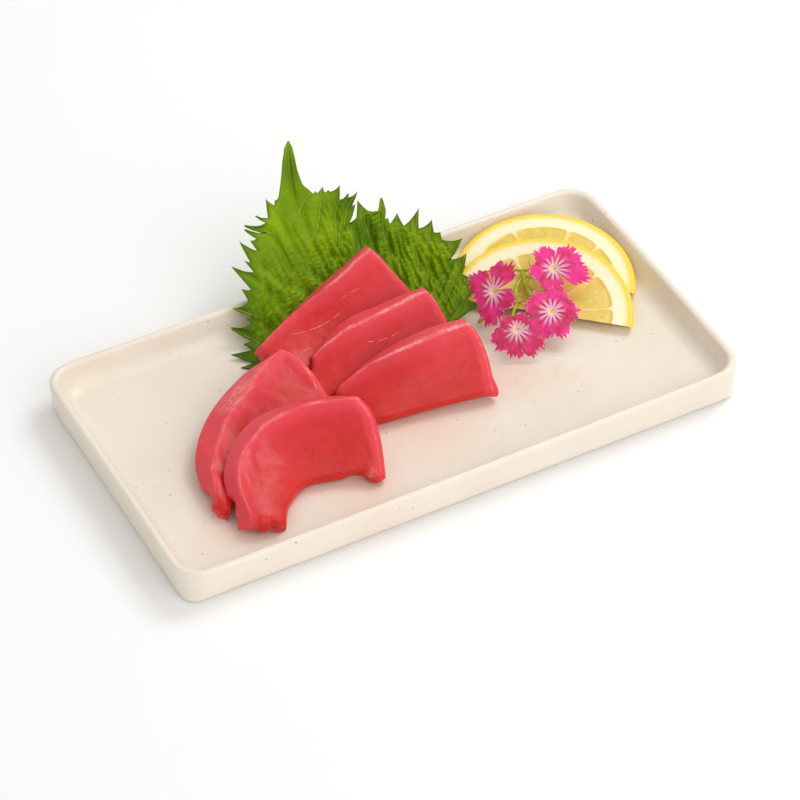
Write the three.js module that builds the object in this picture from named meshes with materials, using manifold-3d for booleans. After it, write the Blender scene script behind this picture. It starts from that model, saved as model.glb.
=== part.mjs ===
// Sashimi plate: five slices of raw tuna fanned over two shiso leaves, two half slices of lemon and
// a sprig of four small fringed flowers, on a rectangular stoneware plate with a low rim.
// Millimetres, +Z up. The origin is on the table under the middle of the plate, +X runs along the
// long side and +Y to the back, where the leaves stand out over the rim.
import * as THREE from 'three';
import { mergeVertices } from 'three/addons/utils/BufferGeometryUtils.js';
import Module from 'manifold-3d';

const wasm = await Module();
wasm.setup();

// ---------- driving dimensions ----------

const PLATE_LENGTH = 216;
const PLATE_WIDTH = 114;
const PLATE_HEIGHT = 14.8;
const PLATE_CORNER = 10.4;
const RIM_WIDTH = 3.1;
const FOOT_ROUNDING = 3; // how much sharper the foot's corners are than the rim's
const FOOT_BLEND = 5; // height where the walls have taken the rim's corner
const LEAST_CORNER = 4;
const FLOOR_HEIGHT = 6.3;
const HAND_MADE = 0.22; // how far the rim wanders from true

const CLEARANCE = 0.3; // gap between pieces that touch
const REST_HEIGHT = FLOOR_HEIGHT + CLEARANCE;

const TUNA_THICKNESS = 6;
const LEAF_THICKNESS = 0.5;
const LEMON_THICKNESS = 3.2;
const FLOWER_RADIUS = 11;
const PETALS = 5;

// ---------- general shapes ----------

// One indexed geometry with its faces turned outwards.
function closedGeometry(points, faces) {
  const position = new Float32Array(points.flatMap((p) => [p.x, p.y, p.z]));
  let sixVolumes = 0;
  for (let i = 0; i < faces.length; i += 3) {
    const [a, b, c] = [points[faces[i]], points[faces[i + 1]], points[faces[i + 2]]];
    sixVolumes += a.dot(b.clone().cross(c));
  }
  if (sixVolumes < 0) faces.reverse();
  const geometry = new THREE.BufferGeometry();
  geometry.setAttribute('position', new THREE.BufferAttribute(position, 3));
  geometry.setIndex(faces);
  return geometry;
}

// A solid skinned over rings with the same number of points, closed to a pole at each end.
function ringSolid(firstPole, rings, lastPole) {
  const count = rings[0].length;
  const points = [firstPole, ...rings.flat(), lastPole];
  const last = points.length - 1;
  const at = (ring, k) => 1 + ring * count + (k % count);
  const faces = [];
  for (let k = 0; k < count; k++) {
    faces.push(0, at(0, k + 1), at(0, k));
    for (let ring = 0; ring + 1 < rings.length; ring++) {
      faces.push(at(ring, k), at(ring, k + 1), at(ring + 1, k + 1));
      faces.push(at(ring, k), at(ring + 1, k + 1), at(ring + 1, k));
    }
    faces.push(last, at(rings.length - 1, k), at(rings.length - 1, k + 1));
  }
  return closedGeometry(points, faces);
}

// A solid between an upper and a lower grid, split into triangles alike and joined round the edge.
function sheetSolid(rows, columns, pointAt) {
  const points = [];
  for (const side of [1, -1])
    for (let i = 0; i <= rows; i++)
      for (let j = 0; j <= columns; j++) points.push(pointAt(i, j, side));
  const lower = (rows + 1) * (columns + 1);
  const at = (i, j) => i * (columns + 1) + j;
  const faces = [];
  for (let i = 0; i < rows; i++)
    for (let j = 0; j < columns; j++) {
      const [a, b, c, d] = [at(i, j), at(i + 1, j), at(i + 1, j + 1), at(i, j + 1)];
      faces.push(a, b, c, a, c, d);
      faces.push(lower + a, lower + c, lower + b, lower + a, lower + d, lower + c);
    }
  const edge = [];
  for (let j = 0; j < columns; j++) edge.push(at(0, j));
  for (let i = 0; i < rows; i++) edge.push(at(i, columns));
  for (let j = columns; j > 0; j--) edge.push(at(rows, j));
  for (let i = rows; i > 0; i--) edge.push(at(i, 0));
  edge.forEach((a, k) => {
    const b = edge[(k + 1) % edge.length];
    faces.push(a, b, lower + b, a, lower + b, lower + a);
  });
  return closedGeometry(points, faces);
}

const curveThrough = (points) =>
  new THREE.CatmullRomCurve3(points.map((p) => new THREE.Vector3(...p)));

// A repeatable draw between -1 and 1.
function seededDraw(seed) {
  let state = seed;
  return () => {
    state = (state * 16807) % 2147483647;
    return (state / 2147483647) * 2 - 1;
  };
}

// ---------- plate ----------

// One level of the plate: a round-cornered rectangle `inset` inside the rim's outline.
function plateRing(inset, z) {
  const halfLength = PLATE_LENGTH / 2 - inset;
  const halfWidth = PLATE_WIDTH / 2 - inset;
  const nearFoot = Math.max(0, 1 - z / FOOT_BLEND);
  const sharpened = 0.6 + nearFoot;
  const corner = Math.max(PLATE_CORNER - inset * sharpened - FOOT_ROUNDING * nearFoot, LEAST_CORNER);
  const cornerSteps = 5;
  const sideSteps = [4, 7];
  const ring = [];
  for (let quarter = 0; quarter < 4; quarter++) {
    const signX = quarter === 0 || quarter === 3 ? 1 : -1;
    const signY = quarter < 2 ? 1 : -1;
    const centre = new THREE.Vector2(signX * (halfLength - corner), signY * (halfWidth - corner));
    for (let step = 0; step <= cornerSteps; step++) {
      const angle = ((quarter + step / cornerSteps) * Math.PI) / 2;
      ring.push(new THREE.Vector2(Math.cos(angle), Math.sin(angle)).multiplyScalar(corner).add(centre));
    }
    const from = ring[ring.length - 1];
    const alongX = quarter % 2 === 0;
    const to = alongX
      ? new THREE.Vector2(-from.x, from.y)
      : new THREE.Vector2(from.x, -from.y);
    const steps = sideSteps[alongX ? 1 : 0];
    for (let step = 1; step < steps; step++) ring.push(from.clone().lerp(to, step / steps));
  }
  // The clay was shaped by hand, so above the foot its sides and rim are never quite true.
  const wander = HAND_MADE * Math.min(z / 6, 1);
  return ring.map((p) => {
    const turn = Math.atan2(p.y / PLATE_WIDTH, p.x / PLATE_LENGTH);
    const out = 1 + (wander * Math.sin(3 * turn + 0.8)) / 90;
    const lift = z > FLOOR_HEIGHT + 1 ? wander * Math.sin(2 * turn + 2.1) : 0;
    return new THREE.Vector3(p.x * out, p.y * out, z + lift);
  });
}

function plateGeometry() {
  const depth = PLATE_HEIGHT - FLOOR_HEIGHT;
  // [inset from the rim's outline, height] from the foot, over the rim, to the floor of the well
  const levels = [
    [4.2, 0],
    [2.5, 0.4],
    [1.6, 1.4],
    [1.1, 3.2],
    [0.5, PLATE_HEIGHT * 0.65],
    [0, PLATE_HEIGHT - 1.5],
    [0.4, PLATE_HEIGHT - 0.45],
    [RIM_WIDTH / 2, PLATE_HEIGHT],
    [RIM_WIDTH - 0.4, PLATE_HEIGHT - 0.5],
    [RIM_WIDTH, PLATE_HEIGHT - 1.4],
    [RIM_WIDTH + 1.5, FLOOR_HEIGHT + depth * 0.42],
    [RIM_WIDTH + 3, FLOOR_HEIGHT + depth * 0.14],
    [RIM_WIDTH + 5.5, FLOOR_HEIGHT + depth * 0.03],
    [RIM_WIDTH + 9, FLOOR_HEIGHT],
  ];
  return ringSolid(
    new THREE.Vector3(0, 0, 0),
    levels.map(([inset, z]) => plateRing(inset, z)),
    new THREE.Vector3(0, 0, FLOOR_HEIGHT),
  );
}

// ---------- tuna ----------

// Each slice is a soft slab. `foot` and `top` are its two long edges, from the cut end on the right
// to the end that lies down on the left; `crown` is how far its face swells between them, and
// `rests` is the height of what it lies on.
const ON_PLATE = REST_HEIGHT;
const ON_LEAF = REST_HEIGHT + 1.7;
const TUNA_SLICES = {
  tuna_slice_1: {
    foot: [[26, 22, 10], [4, 19.6, 10], [-18, 18.6, 10.4], [-36, 15, 11.5]],
    top: [[13.9, 44.8, 31.5], [-2, 43.7, 24.5], [-19, 41.8, 16.2], [-39, 32.2, 13.2]],
    crown: 1.2,
    rests: ON_LEAF,
  },
  tuna_slice_2: {
    foot: [[26, -2, 8], [6, -1, 8], [-10, 2.4, 8], [-24.8, 5, 8]],
    top: [[24.2, 20.6, 29.3], [8.2, 21.5, 25.6], [-8, 20.2, 19.2], [-24.5, 14.5, 11.6]],
    crown: 0.5,
    rests: ON_PLATE,
  },
  tuna_slice_3: {
    foot: [[28.6, -22.5, 8], [4, -17.7, 8], [-12, -16, 8], [-21, -14, 8]],
    top: [[29, -1.6, 30.3], [8, 0.6, 27], [-8, 4.2, 19.5], [-19, 4, 13.5]],
    crown: 1.8,
    rests: ON_PLATE,
  },
  tuna_slice_4: {
    foot: [[-24.5, -3, 10], [-42, -12, 9], [-60, -17, 8], [-72, -24, 8], [-80.5, -33, 8]],
    top: [[-30.4, 23.2, 22.1], [-47.7, 18.7, 19.7], [-65.7, 9.9, 15.5], [-79, -7, 14], [-82.5, -22, 11]],
    crown: 1.2,
    rests: ON_PLATE,
  },
  tuna_slice_5: {
    foot: [[-23.5, -40.3, 8], [-38.3, -33.5, 8], [-50, -31, 8], [-59.5, -37, 8], [-65, -45.5, 8]],
    top: [[-18.2, -15.4, 26], [-39.2, -7.1, 24.3], [-59, -6.7, 21.3], [-75, -20.5, 17.5], [-78.6, -41.5, 10.2]],
    crown: 1.8,
    rests: ON_PLATE,
  },
};

const TUNA_ROWS = 20;
const TUNA_COLUMNS = 12;
const TUNA_CORNER = 0.16; // 0 keeps the corners square, 1 makes the slab an ellipse
const TUNA_EDGE = 2.6; // how far in from its border the slab is rounded off

// Steps from -1 to 1 that crowd towards both ends.
const crowded = (index, count) => Math.sin((Math.PI / 2) * ((2 * index) / count - 1));

// How thick a slab is `across` of the way from its middle (0) to its border (1).
function edgeRounding(across, halfSpan) {
  const inside = 1 - TUNA_EDGE / halfSpan;
  const t = Math.max(0, (Math.abs(across) - inside) / (1 - inside));
  return Math.sqrt(1 - 0.97 * t * t);
}

function tunaGeometry({ foot, top, crown, rests }) {
  const footEdge = curveThrough(foot);
  const topEdge = curveThrough(top);
  const halfLength = footEdge.getLength() / 2;
  const halfWidth = footEdge.getPoint(0).distanceTo(topEdge.getPoint(0)) / 2;
  const flat = (a, b) => {
    const along = THREE.MathUtils.clamp((a + 1) / 2, 0, 1);
    return footEdge.getPoint(along).lerp(topEdge.getPoint(along), (b + 1) / 2);
  };
  const step = 0.02;
  const normalAt = (a, b) => {
    const inner = THREE.MathUtils.clamp(a, step - 1, 1 - step);
    const alongEdge = flat(inner + step, b).sub(flat(inner - step, b));
    const upFace = flat(a, b + step).sub(flat(a, b - step));
    const normal = alongEdge.cross(upFace).normalize();
    return normal.z < 0 ? normal.negate() : normal;
  };
  return sheetSolid(TUNA_ROWS, TUNA_COLUMNS, (i, j, side) => {
    const s = crowded(i, TUNA_ROWS);
    const t = crowded(j, TUNA_COLUMNS);
    const a = s * Math.sqrt(1 - (TUNA_CORNER * t * t) / 2);
    const b = t * Math.sqrt(1 - (TUNA_CORNER * s * s) / 2);
    const half = (TUNA_THICKNESS / 2) * edgeRounding(s, halfLength) * edgeRounding(t, halfWidth);
    const offset = crown * (1 - t * t) + side * half;
    const point = flat(a, b).addScaledVector(normalAt(a, b), offset);
    point.z = Math.max(point.z, rests);
    return point;
  });
}

// ---------- shiso leaves ----------

// `rib` is the midrib from stalk to tip and `shoulder` the share of it where the blade narrows into
// the long tip. Each half is widest at `widest`, and rises by `slope` for every millimetre out.
const LEAVES = {
  shiso_leaf_1: {
    rib: [[-6, 16, 7.6], [-3, 30, 7.7], [0, 41, 11.2], [1.3, 50.4, 19.5], [0.3, 71.3, 35], [5.4, 89.6, 49]],
    shoulder: 0.8,
    left: { width: 39, widest: 0.22, slope: -0.04 },
    right: { width: 16, widest: 0.54, slope: 0.05 },
    seed: 11,
  },
  shiso_leaf_2: {
    rib: [[22, 15, 6.85], [23, 31, 6.9], [24, 41.5, 10.3], [24.3, 52.6, 19.4], [30, 66, 30.4]],
    shoulder: 0.87,
    left: { width: 17, widest: 0.5, slope: -0.12 },
    right: { width: 26, widest: 0.3, slope: 0.28 },
    seed: 5,
  },
};

const LEAF_TEETH = 10; // on each side of the blade
const ROWS_A_TOOTH = 3;
const TIP_ROWS = 4;
const NOTCH_DEPTH = 7; // how far the notches reach in from the tips of the teeth
const LONG_TIP_WIDTH = 5.2;
const LEAF_COLUMNS = [-1, -0.78, -0.4, 0, 0.4, 0.78, 1];
const VEIN_SLANT = 0.14; // how far along the rib the side veins run forward
const TOOTH_SLANT = 0.035;

// Half width at `t` of a half leaf's length, as a share of its greatest width.
function bladeOutline(t, widest, shoulder) {
  const reach = t < widest ? widest * 1.4 : shoulder - widest;
  return Math.sqrt(Math.max(0, 1 - ((t - widest) / reach) ** 2));
}

function leafGeometry({ rib, shoulder, left, right, seed }) {
  const midrib = curveThrough(rib);
  const draw = seededDraw(seed);
  const toothRows = LEAF_TEETH * ROWS_A_TOOTH;
  const rows = toothRows + TIP_ROWS;
  const halves = [left, right].map((half) => ({
    ...half,
    uneven: Array.from({ length: LEAF_TEETH + 1 }, () => 1.6 * draw()),
    curl: Array.from({ length: LEAF_TEETH + 1 }, () => 0.8 * draw()),
  }));
  const pointOn = (row, across) => {
    const half = halves[across < 0 ? 0 : 1];
    const share = Math.abs(across);
    const inBlade = row <= toothRows;
    const beyond = (row - toothRows) / TIP_ROWS;
    const margin = inBlade ? (row / toothRows) * shoulder : THREE.MathUtils.lerp(shoulder, 1, beyond);
    const onRib = inBlade
      ? margin * (1 - VEIN_SLANT / shoulder)
      : THREE.MathUtils.lerp(shoulder - VEIN_SLANT, 1, beyond);
    const blade = half.width * bladeOutline(margin, half.widest, shoulder);
    const longTip = inBlade ? LONG_TIP_WIDTH : LONG_TIP_WIDTH * (1 - beyond) ** 1.3 + 0.4;
    const tooth = Math.floor(row / ROWS_A_TOOTH);
    const pointed = inBlade ? [0, 0.45, 1][row % ROWS_A_TOOTH] : 0;
    const atMargin = share === 1 && inBlade;
    const cut = atMargin ? NOTCH_DEPTH * (1 - pointed) - half.uneven[tooth] * pointed : 0;
    const inner = share * Math.max(blade - NOTCH_DEPTH * 0.9, longTip);
    const out = atMargin ? Math.max(blade - cut, longTip * 0.9) : inner;
    const forward = atMargin ? pointed * TOOTH_SLANT : 0;
    const station = Math.min(THREE.MathUtils.lerp(onRib, margin, share) + forward, 1);
    const point = midrib.getPointAt(station);
    point.x += Math.sign(across) * out;
    point.z += half.slope * out + (atMargin ? half.curl[tooth] * pointed : 0);
    point.z = Math.max(point.z, REST_HEIGHT + LEAF_THICKNESS / 2);
    return point;
  };
  return sheetSolid(rows, LEAF_COLUMNS.length - 1, (i, j, side) => {
    const tangent = midrib.getTangentAt(i / rows);
    const normal = new THREE.Vector3(1, 0, 0).cross(tangent).normalize();
    return pointOn(i, LEAF_COLUMNS[j]).addScaledVector(normal, (side * LEAF_THICKNESS) / 2);
  });
}

// ---------- lemon ----------

// Cut slices: the middle of the whole round on the lower face, the tilt about the cut edge, the
// radius, and how far past the middle the round was cut. The front slice lies on the back one.
const LEMON_TURN = -42;
const LEMON_SLICES = {
  lemon_slice_1: { centre: [61.4, 6.9, REST_HEIGHT], tilt: 12, radius: 33.4, past: 0 },
  lemon_slice_2: { centre: [70.4, 19.6, REST_HEIGHT], tilt: 9, radius: 33, past: 5.5 },
};

function lemonGeometry(radius, past) {
  const bevel = 0.6;
  const round = radius - bevel;
  const from = Math.asin((past + bevel) / round);
  const shape = new THREE.Shape();
  shape.moveTo(round * Math.cos(from), round * Math.sin(from));
  shape.absarc(0, 0, round, from, Math.PI - from, false);
  shape.closePath();
  const geometry = new THREE.ExtrudeGeometry(shape, {
    depth: LEMON_THICKNESS - 2 * bevel,
    bevelSize: bevel,
    bevelThickness: bevel,
    bevelSegments: 2,
    curveSegments: 28,
  });
  return geometry.translate(0, 0, bevel);
}

// ---------- flowers ----------

// Flower heads: centre of the throat, the way each one faces, and its turn in degrees.
const FLOWERS = {
  flower_1: { centre: [71.2, 14, 19.8], faces: [-0.25, -0.45, 0.85], turn: 10 },
  flower_2: { centre: [46.6, 13.4, 20], faces: [-0.65, -0.35, 0.67], turn: 40 },
  flower_3: { centre: [45.7, -4.4, 17], faces: [-0.25, -0.75, 0.45], turn: 0 },
  flower_4: { centre: [61, -2.2, 17], faces: [-0.3, -0.6, 0.74], turn: 25 },
};

// How far the fringed petal reaches across its width, as shares of the flower's radius.
const PETAL_FRINGE = [0.55, 0.9, 1, 0.9, 1.05, 0.92, 1, 0.88];

function flowerGeometry(seed) {
  const draw = seededDraw(seed);
  const petalLength = Array.from({ length: PETALS }, () => 1 + 0.08 * draw());
  const rays = PETALS * PETAL_FRINGE.length;
  const ringAt = (share, height) =>
    Array.from({ length: rays }, (_, k) => {
      const angle = (k / rays) * Math.PI * 2;
      const fringe = THREE.MathUtils.lerp(1, PETAL_FRINGE[k % PETAL_FRINGE.length], share * share);
      const length = petalLength[Math.floor(k / PETAL_FRINGE.length)];
      const radius = FLOWER_RADIUS * share * fringe * length;
      const ripple = 0.35 * share * Math.sin(angle * PETALS + 1);
      return new THREE.Vector3(radius * Math.cos(angle), radius * Math.sin(angle), height + ripple);
    });
  const cup = (share) => 1.6 * share - 1.2 * share * share;
  const petal = 0.45;
  const shares = [0.12, 0.45, 0.78, 1];
  const upper = shares.map((share) => ringAt(share, cup(share)));
  const lower = shares.map((share) => ringAt(share, cup(share) - petal)).reverse();
  const tube = ringAt(0.09, -4.5);
  return ringSolid(
    new THREE.Vector3(0, 0, -0.2),
    [...upper, ...lower, tube],
    new THREE.Vector3(0, 0, -5),
  );
}

// ---------- green sprig that carries the flowers ----------

// The main stalk from its cut end on the plate, then a branch to the back of each flower head.
const STEM_RADIUS = 0.8;
const STEMS = [
  [[39.9, 13, 7.6], [48, 14.4, 12], [56, 15, 14.2]],
  [[54, 14.9, 13.8], [62, 15.6, 14.6], [70, 16.4, 14]],
  [[54, 14.8, 13.8], [60, 10, 14.4], [63, 2.6, 12.6]],
  [[51, 14.6, 13], [49, 8, 13.6], [47.6, 1.6, 14.2]],
];

const solidFrom = (geometry) => {
  const bare = geometry.clone();
  bare.deleteAttribute('normal');
  bare.deleteAttribute('uv');
  const merged = mergeVertices(bare, 1e-4);
  return new wasm.Manifold(
    new wasm.Mesh({
      numProp: 3,
      vertProperties: merged.attributes.position.array,
      triVerts: new Uint32Array(merged.index.array),
    }),
  );
};

const geometryFrom = (solid) => {
  const mesh = solid.getMesh();
  const geometry = new THREE.BufferGeometry();
  geometry.setAttribute('position', new THREE.BufferAttribute(mesh.vertProperties, 3));
  geometry.setIndex(Array.from(mesh.triVerts));
  return geometry;
};

function stemGeometry() {
  const section = new THREE.Shape().absarc(0, 0, STEM_RADIUS, 0, Math.PI * 2, false);
  const tubes = STEMS.map((route) =>
    solidFrom(
      new THREE.ExtrudeGeometry(section, {
        steps: 8,
        curveSegments: 4,
        extrudePath: curveThrough(route),
        bevelEnabled: false,
      }),
    ),
  );
  return geometryFrom(tubes.reduce((whole, tube) => whole.add(tube)));
}

// ---------- the whole plate ----------

const glaze = { color: 0xeee6d6, roughness: 0.42, metalness: 0 };
const tuna = { color: 0xd9484f, roughness: 0.32, metalness: 0 };
const shiso = { color: 0x5f8f1c, roughness: 0.6, metalness: 0 };
const lemon = { color: 0xf1d778, roughness: 0.4, metalness: 0 };
const petal = { color: 0xd8217a, roughness: 0.65, metalness: 0 };
const stalk = { color: 0x8db238, roughness: 0.55, metalness: 0 };

function addPiece(parent, name, geometry, look) {
  const mesh = new THREE.Mesh(geometry, new THREE.MeshStandardMaterial(look));
  mesh.name = name;
  parent.add(mesh);
  return mesh;
}

const group = new THREE.Group();
addPiece(group, 'plate', plateGeometry(), glaze);
for (const [name, slice] of Object.entries(TUNA_SLICES)) addPiece(group, name, tunaGeometry(slice), tuna);
for (const [name, leaf] of Object.entries(LEAVES)) addPiece(group, name, leafGeometry(leaf), shiso);

for (const [name, { centre, tilt, radius, past }] of Object.entries(LEMON_SLICES)) {
  const turned = new THREE.Group();
  turned.position.set(...centre);
  turned.rotation.z = THREE.MathUtils.degToRad(LEMON_TURN);
  group.add(turned);
  const slice = addPiece(turned, name, lemonGeometry(radius, past), lemon);
  slice.rotation.x = THREE.MathUtils.degToRad(tilt);
}

Object.entries(FLOWERS).forEach(([name, { centre, faces, turn }], index) => {
  const head = addPiece(group, name, flowerGeometry(101 + index), petal);
  head.position.set(...centre);
  head.quaternion.setFromUnitVectors(
    new THREE.Vector3(0, 0, 1),
    new THREE.Vector3(...faces).normalize(),
  );
  head.rotateZ(THREE.MathUtils.degToRad(turn));
});
addPiece(group, 'flower_stem', stemGeometry(), stalk);

export default group;
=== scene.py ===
"""Sashimi plate, dressed around its fixed frame.

Five slices of raw tuna lie fanned over two shiso leaves, with two cut slices of lemon and a sprig
of four small fringed flowers, on a speckled stoneware plate. Sizes in this file are millimetres
where no comment says metres. The meshes are in metres.
"""

import bisect
import math

import bpy
from bpy.props import FloatProperty, FloatVectorProperty, PointerProperty
from mathutils import Matrix, Vector, noise
from mathutils.kdtree import KDTree


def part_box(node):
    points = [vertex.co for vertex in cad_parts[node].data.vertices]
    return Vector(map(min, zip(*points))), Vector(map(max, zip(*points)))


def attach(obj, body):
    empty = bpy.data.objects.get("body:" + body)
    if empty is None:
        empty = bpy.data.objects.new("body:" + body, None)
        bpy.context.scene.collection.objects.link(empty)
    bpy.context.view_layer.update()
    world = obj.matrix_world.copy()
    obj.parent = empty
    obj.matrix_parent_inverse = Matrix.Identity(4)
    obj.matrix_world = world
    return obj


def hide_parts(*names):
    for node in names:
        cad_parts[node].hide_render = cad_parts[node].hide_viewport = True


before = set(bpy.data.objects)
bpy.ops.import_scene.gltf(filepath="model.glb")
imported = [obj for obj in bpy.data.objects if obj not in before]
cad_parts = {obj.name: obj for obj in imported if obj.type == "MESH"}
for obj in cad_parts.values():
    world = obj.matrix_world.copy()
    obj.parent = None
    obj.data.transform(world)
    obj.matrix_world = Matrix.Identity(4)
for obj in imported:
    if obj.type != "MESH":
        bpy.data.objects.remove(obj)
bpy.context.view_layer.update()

bl_info = {
    "name": "Sashimi plate",
    "version": (1, 0, 0),
    "blender": (4, 5, 0),
    "location": "View3D > Sidebar > Sashimi",
    "description": "Dresses a plate of tuna sashimi with leaves, lemon and flowers",
    "category": "Object",
}

MM = 0.001
BODY = "root"
BED_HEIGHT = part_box("tuna_slice_3")[0].z / MM  # where food lies on the plate


# ---------- sizes and colours that a user would change ----------


def size(name, description, default):
    return FloatProperty(
        name=name, description=description, default=default * MM, unit="LENGTH", precision=4
    )


def share(name, description, default):
    return FloatProperty(
        name=name, description=description, default=default, min=0, max=1, subtype="FACTOR"
    )


def colour(name, description, red, green, blue):
    return FloatVectorProperty(
        name=name, description=description, default=(red, green, blue), min=0, max=1, subtype="COLOR"
    )


class GlazeSettings(bpy.types.PropertyGroup):
    glaze: colour("Glaze", "Cream glaze of the plate", 0.82, 0.74, 0.63)
    warm_glaze: colour("Warm glaze", "Glaze where it runs thin over the clay", 0.72, 0.62, 0.49)
    speck: colour("Speck", "Iron specks in the clay", 0.16, 0.085, 0.04)
    # Pink tint of the glaze round the fish and in a patchy smear.
    pink_tint: colour("Juice", "Glaze under fish juice", 0.86, 0.6, 0.5)
    speck_size: size("Speck size", "Radius of a large iron speck", 0.44)
    wander: size("Wander", "How far the hand-made walls wander", 0.25)


class TunaSettings(bpy.types.PropertyGroup):
    flesh: colour("Flesh", "Lean tuna", 0.66, 0.027, 0.04)
    # Deeper flesh, also used as painted shade low in the slices and in their recesses.
    deep_and_shaded_flesh: colour("Deep flesh", "Darker tuna low in the slice", 0.58, 0.018, 0.008)
    # Painted light: paler flesh along the lit shoulders and cut ends.
    lit_rim_flesh: colour("Rim flesh", "Paler tuna along the edges", 0.8, 0.075, 0.105)
    # Sinew colour, also used for painted highlights on the ridges, the cut ends and the streaked
    # patches.
    sinew_and_highlight: colour("Sinew", "White threads between the muscles", 0.95, 0.5, 0.47)
    seam: colour("Seam", "Dark line between two muscles", 0.36, 0.03, 0.028)
    thickness: size("Thickness", "Thickness of a slice", 6.0)
    swell: size("Swell", "Height of the soft swells of the flesh", 0.55)
    grain: size("Grain", "Depth of the muscle grain", 0.01)


class ShisoSettings(bpy.types.PropertyGroup):
    blade: colour("Blade", "Leaf green", 0.14, 0.26, 0.001)
    young_blade: colour("Young blade", "Lighter green between the veins", 0.23, 0.36, 0.002)
    # Darker green of the margin, also used as painted shade in creases, beside the veins and at shaded
    # places.
    margin_and_shade_green: colour("Old blade", "Darker green near the margin", 0.045, 0.11, 0.001)
    vein: colour("Vein", "Pale veins", 0.3, 0.42, 0.06)
    thickness: size("Thickness", "Thickness of the blade", 0.4)
    blister: size("Blister", "Height of the swellings between the veins", 2.7)


class LemonSettings(bpy.types.PropertyGroup):
    rind: colour("Rind", "Yellow rind", 0.97, 0.66, 0.02)
    pith: colour("Pith", "White pith", 0.96, 0.86, 0.58)
    pulp: colour("Pulp", "Juice sacs", 0.74, 0.55, 0.09)
    thickness: size("Thickness", "Thickness of a slice", 3.2)
    rind_width: size("Rind width", "Width of the yellow rind", 1.9)
    pulp_radius: size("Pulp radius", "Radius out to the pith", 26.3)


class FlowerSettings(bpy.types.PropertyGroup):
    petal: colour("Petal", "Magenta petal", 0.86, 0.022, 0.26)
    # Deeper red, also used as painted shade on heads turned from the light.
    deep_and_shaded_petal: colour("Deep petal", "Redder magenta in the folds", 0.5, 0.016, 0.045)
    streak: colour("Streak", "Crimson streaks near the throat", 0.36, 0.0, 0.045)
    ray: colour("Ray", "Pale rays round the throat", 0.92, 0.47, 0.64)
    throat: colour("Throat", "Cream throat", 0.92, 0.66, 0.4)
    radius: size("Radius", "Radius of a flower", 11.0)
    thickness: size("Thickness", "Thickness of a petal", 0.22)


class SprigSettings(bpy.types.PropertyGroup):
    stalk: colour("Stalk", "Green stalks", 0.32, 0.4, 0.004)
    young_stalk: colour("Young stalk", "Lighter green of the sepals", 0.5, 0.52, 0.012)


class StudioSettings(bpy.types.PropertyGroup):
    floor: colour("Floor", "Plain floor", 0.93, 0.93, 0.93)
    sky: share("Sky", "Strength of the light all round", 0.66)
    distance: size("Distance", "From the camera to the plate", 1172.2)


# ---------- ways of working ----------

MERGE_DISTANCE = 0.01


def select_only(piece):
    bpy.ops.object.select_all(action="DESELECT")
    piece.select_set(True)
    bpy.context.view_layer.objects.active = piece


def edit_all(piece, *steps):
    """Runs edit-mode operators on the whole mesh."""
    select_only(piece)
    bpy.ops.object.mode_set(mode="EDIT")
    bpy.ops.mesh.select_all(action="SELECT")
    for step in steps:
        step()
    bpy.ops.object.mode_set(mode="OBJECT")


def merge_doubles():
    bpy.ops.mesh.remove_doubles(threshold=MERGE_DISTANCE * MM)


def face_outwards():
    bpy.ops.mesh.normals_make_consistent(inside=False)


def apply_modifier(piece, kind, **settings):
    modifier = piece.modifiers.new(kind.title(), kind)
    for key, value in settings.items():
        setattr(modifier, key, value)
    select_only(piece)
    bpy.ops.object.modifier_apply(modifier=modifier.name)


def subdivide(piece, levels):
    apply_modifier(piece, "SUBSURF", levels=levels, render_levels=levels)


def sheet(name, columns, rows, place):
    """A grid of faces; `place` gives the point, in millimetres, of each column and row."""
    bpy.ops.object.select_all(action="DESELECT")
    bpy.ops.mesh.primitive_grid_add(x_subdivisions=columns, y_subdivisions=rows, size=2)
    piece = bpy.context.object
    piece.name = name
    for index, vertex in enumerate(piece.data.vertices):
        row, column = divmod(index, columns + 1)
        vertex.co = Vector(place(column, row)) * MM
    return piece


def copy_of_node(node, name):
    """A new piece on a frame node's faces, merged, as quads where they pair up."""
    piece = bpy.data.objects.new(name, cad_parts[node].data.copy())
    bpy.context.collection.objects.link(piece)
    piece.data.materials.clear()
    edit_all(piece, merge_doubles, bpy.ops.mesh.tris_convert_to_quads)
    bpy.ops.mesh.customdata_custom_splitnormals_clear()
    return piece


def join(name, pieces):
    select_only(pieces[0])
    for piece in pieces:
        piece.select_set(True)
    bpy.ops.object.join()
    pieces[0].name = name
    return pieces[0]


def move_points(piece, shift):
    """Moves each vertex by what `shift` gives, in millimetres, for its place and normal."""
    normals = [normal.vector.copy() for normal in piece.data.vertex_normals]
    for vertex, normal in zip(piece.data.vertices, normals):
        vertex.co += shift(vertex.co / MM, normal) * MM


def set_point_attribute(piece, name, values):
    attribute = piece.data.attributes.new(name, "FLOAT", "POINT")
    attribute.data.foreach_set("value", values)


def curve_point(points, along):
    """A point on the smooth curve through the given points, `along` from 0 to 1.

    The curve is a centripetal Catmull-Rom spline.
    """
    ends = [points[0] * 2 - points[1], *points, points[-1] * 2 - points[-2]]
    place = along * (len(points) - 1)
    first = min(int(place), len(points) - 2)
    h = place - first
    before, start, end, after = ends[first : first + 4]
    gaps = ((before, start), (start, end), (end, after))
    d0, d1, d2 = (math.sqrt((b - a).length) for a, b in gaps)
    leave = ((start - before) / d0 - (end - before) / (d0 + d1) + (end - start) / d1) * d1
    arrive = ((end - start) / d1 - (after - start) / (d1 + d2) + (after - end) / d2) * d1
    h2, h3 = h * h, h * h * h
    point = start * (2 * h3 - 3 * h2 + 1) + leave * (h3 - 2 * h2 + h)
    return point + end * (3 * h2 - 2 * h3) + arrive * (h3 - h2)


def walk(route, steps):
    """Points along the smooth curve through a route."""
    corners = [Vector(point) for point in route]
    return [curve_point(corners, k / steps) for k in range(steps + 1)]


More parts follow.
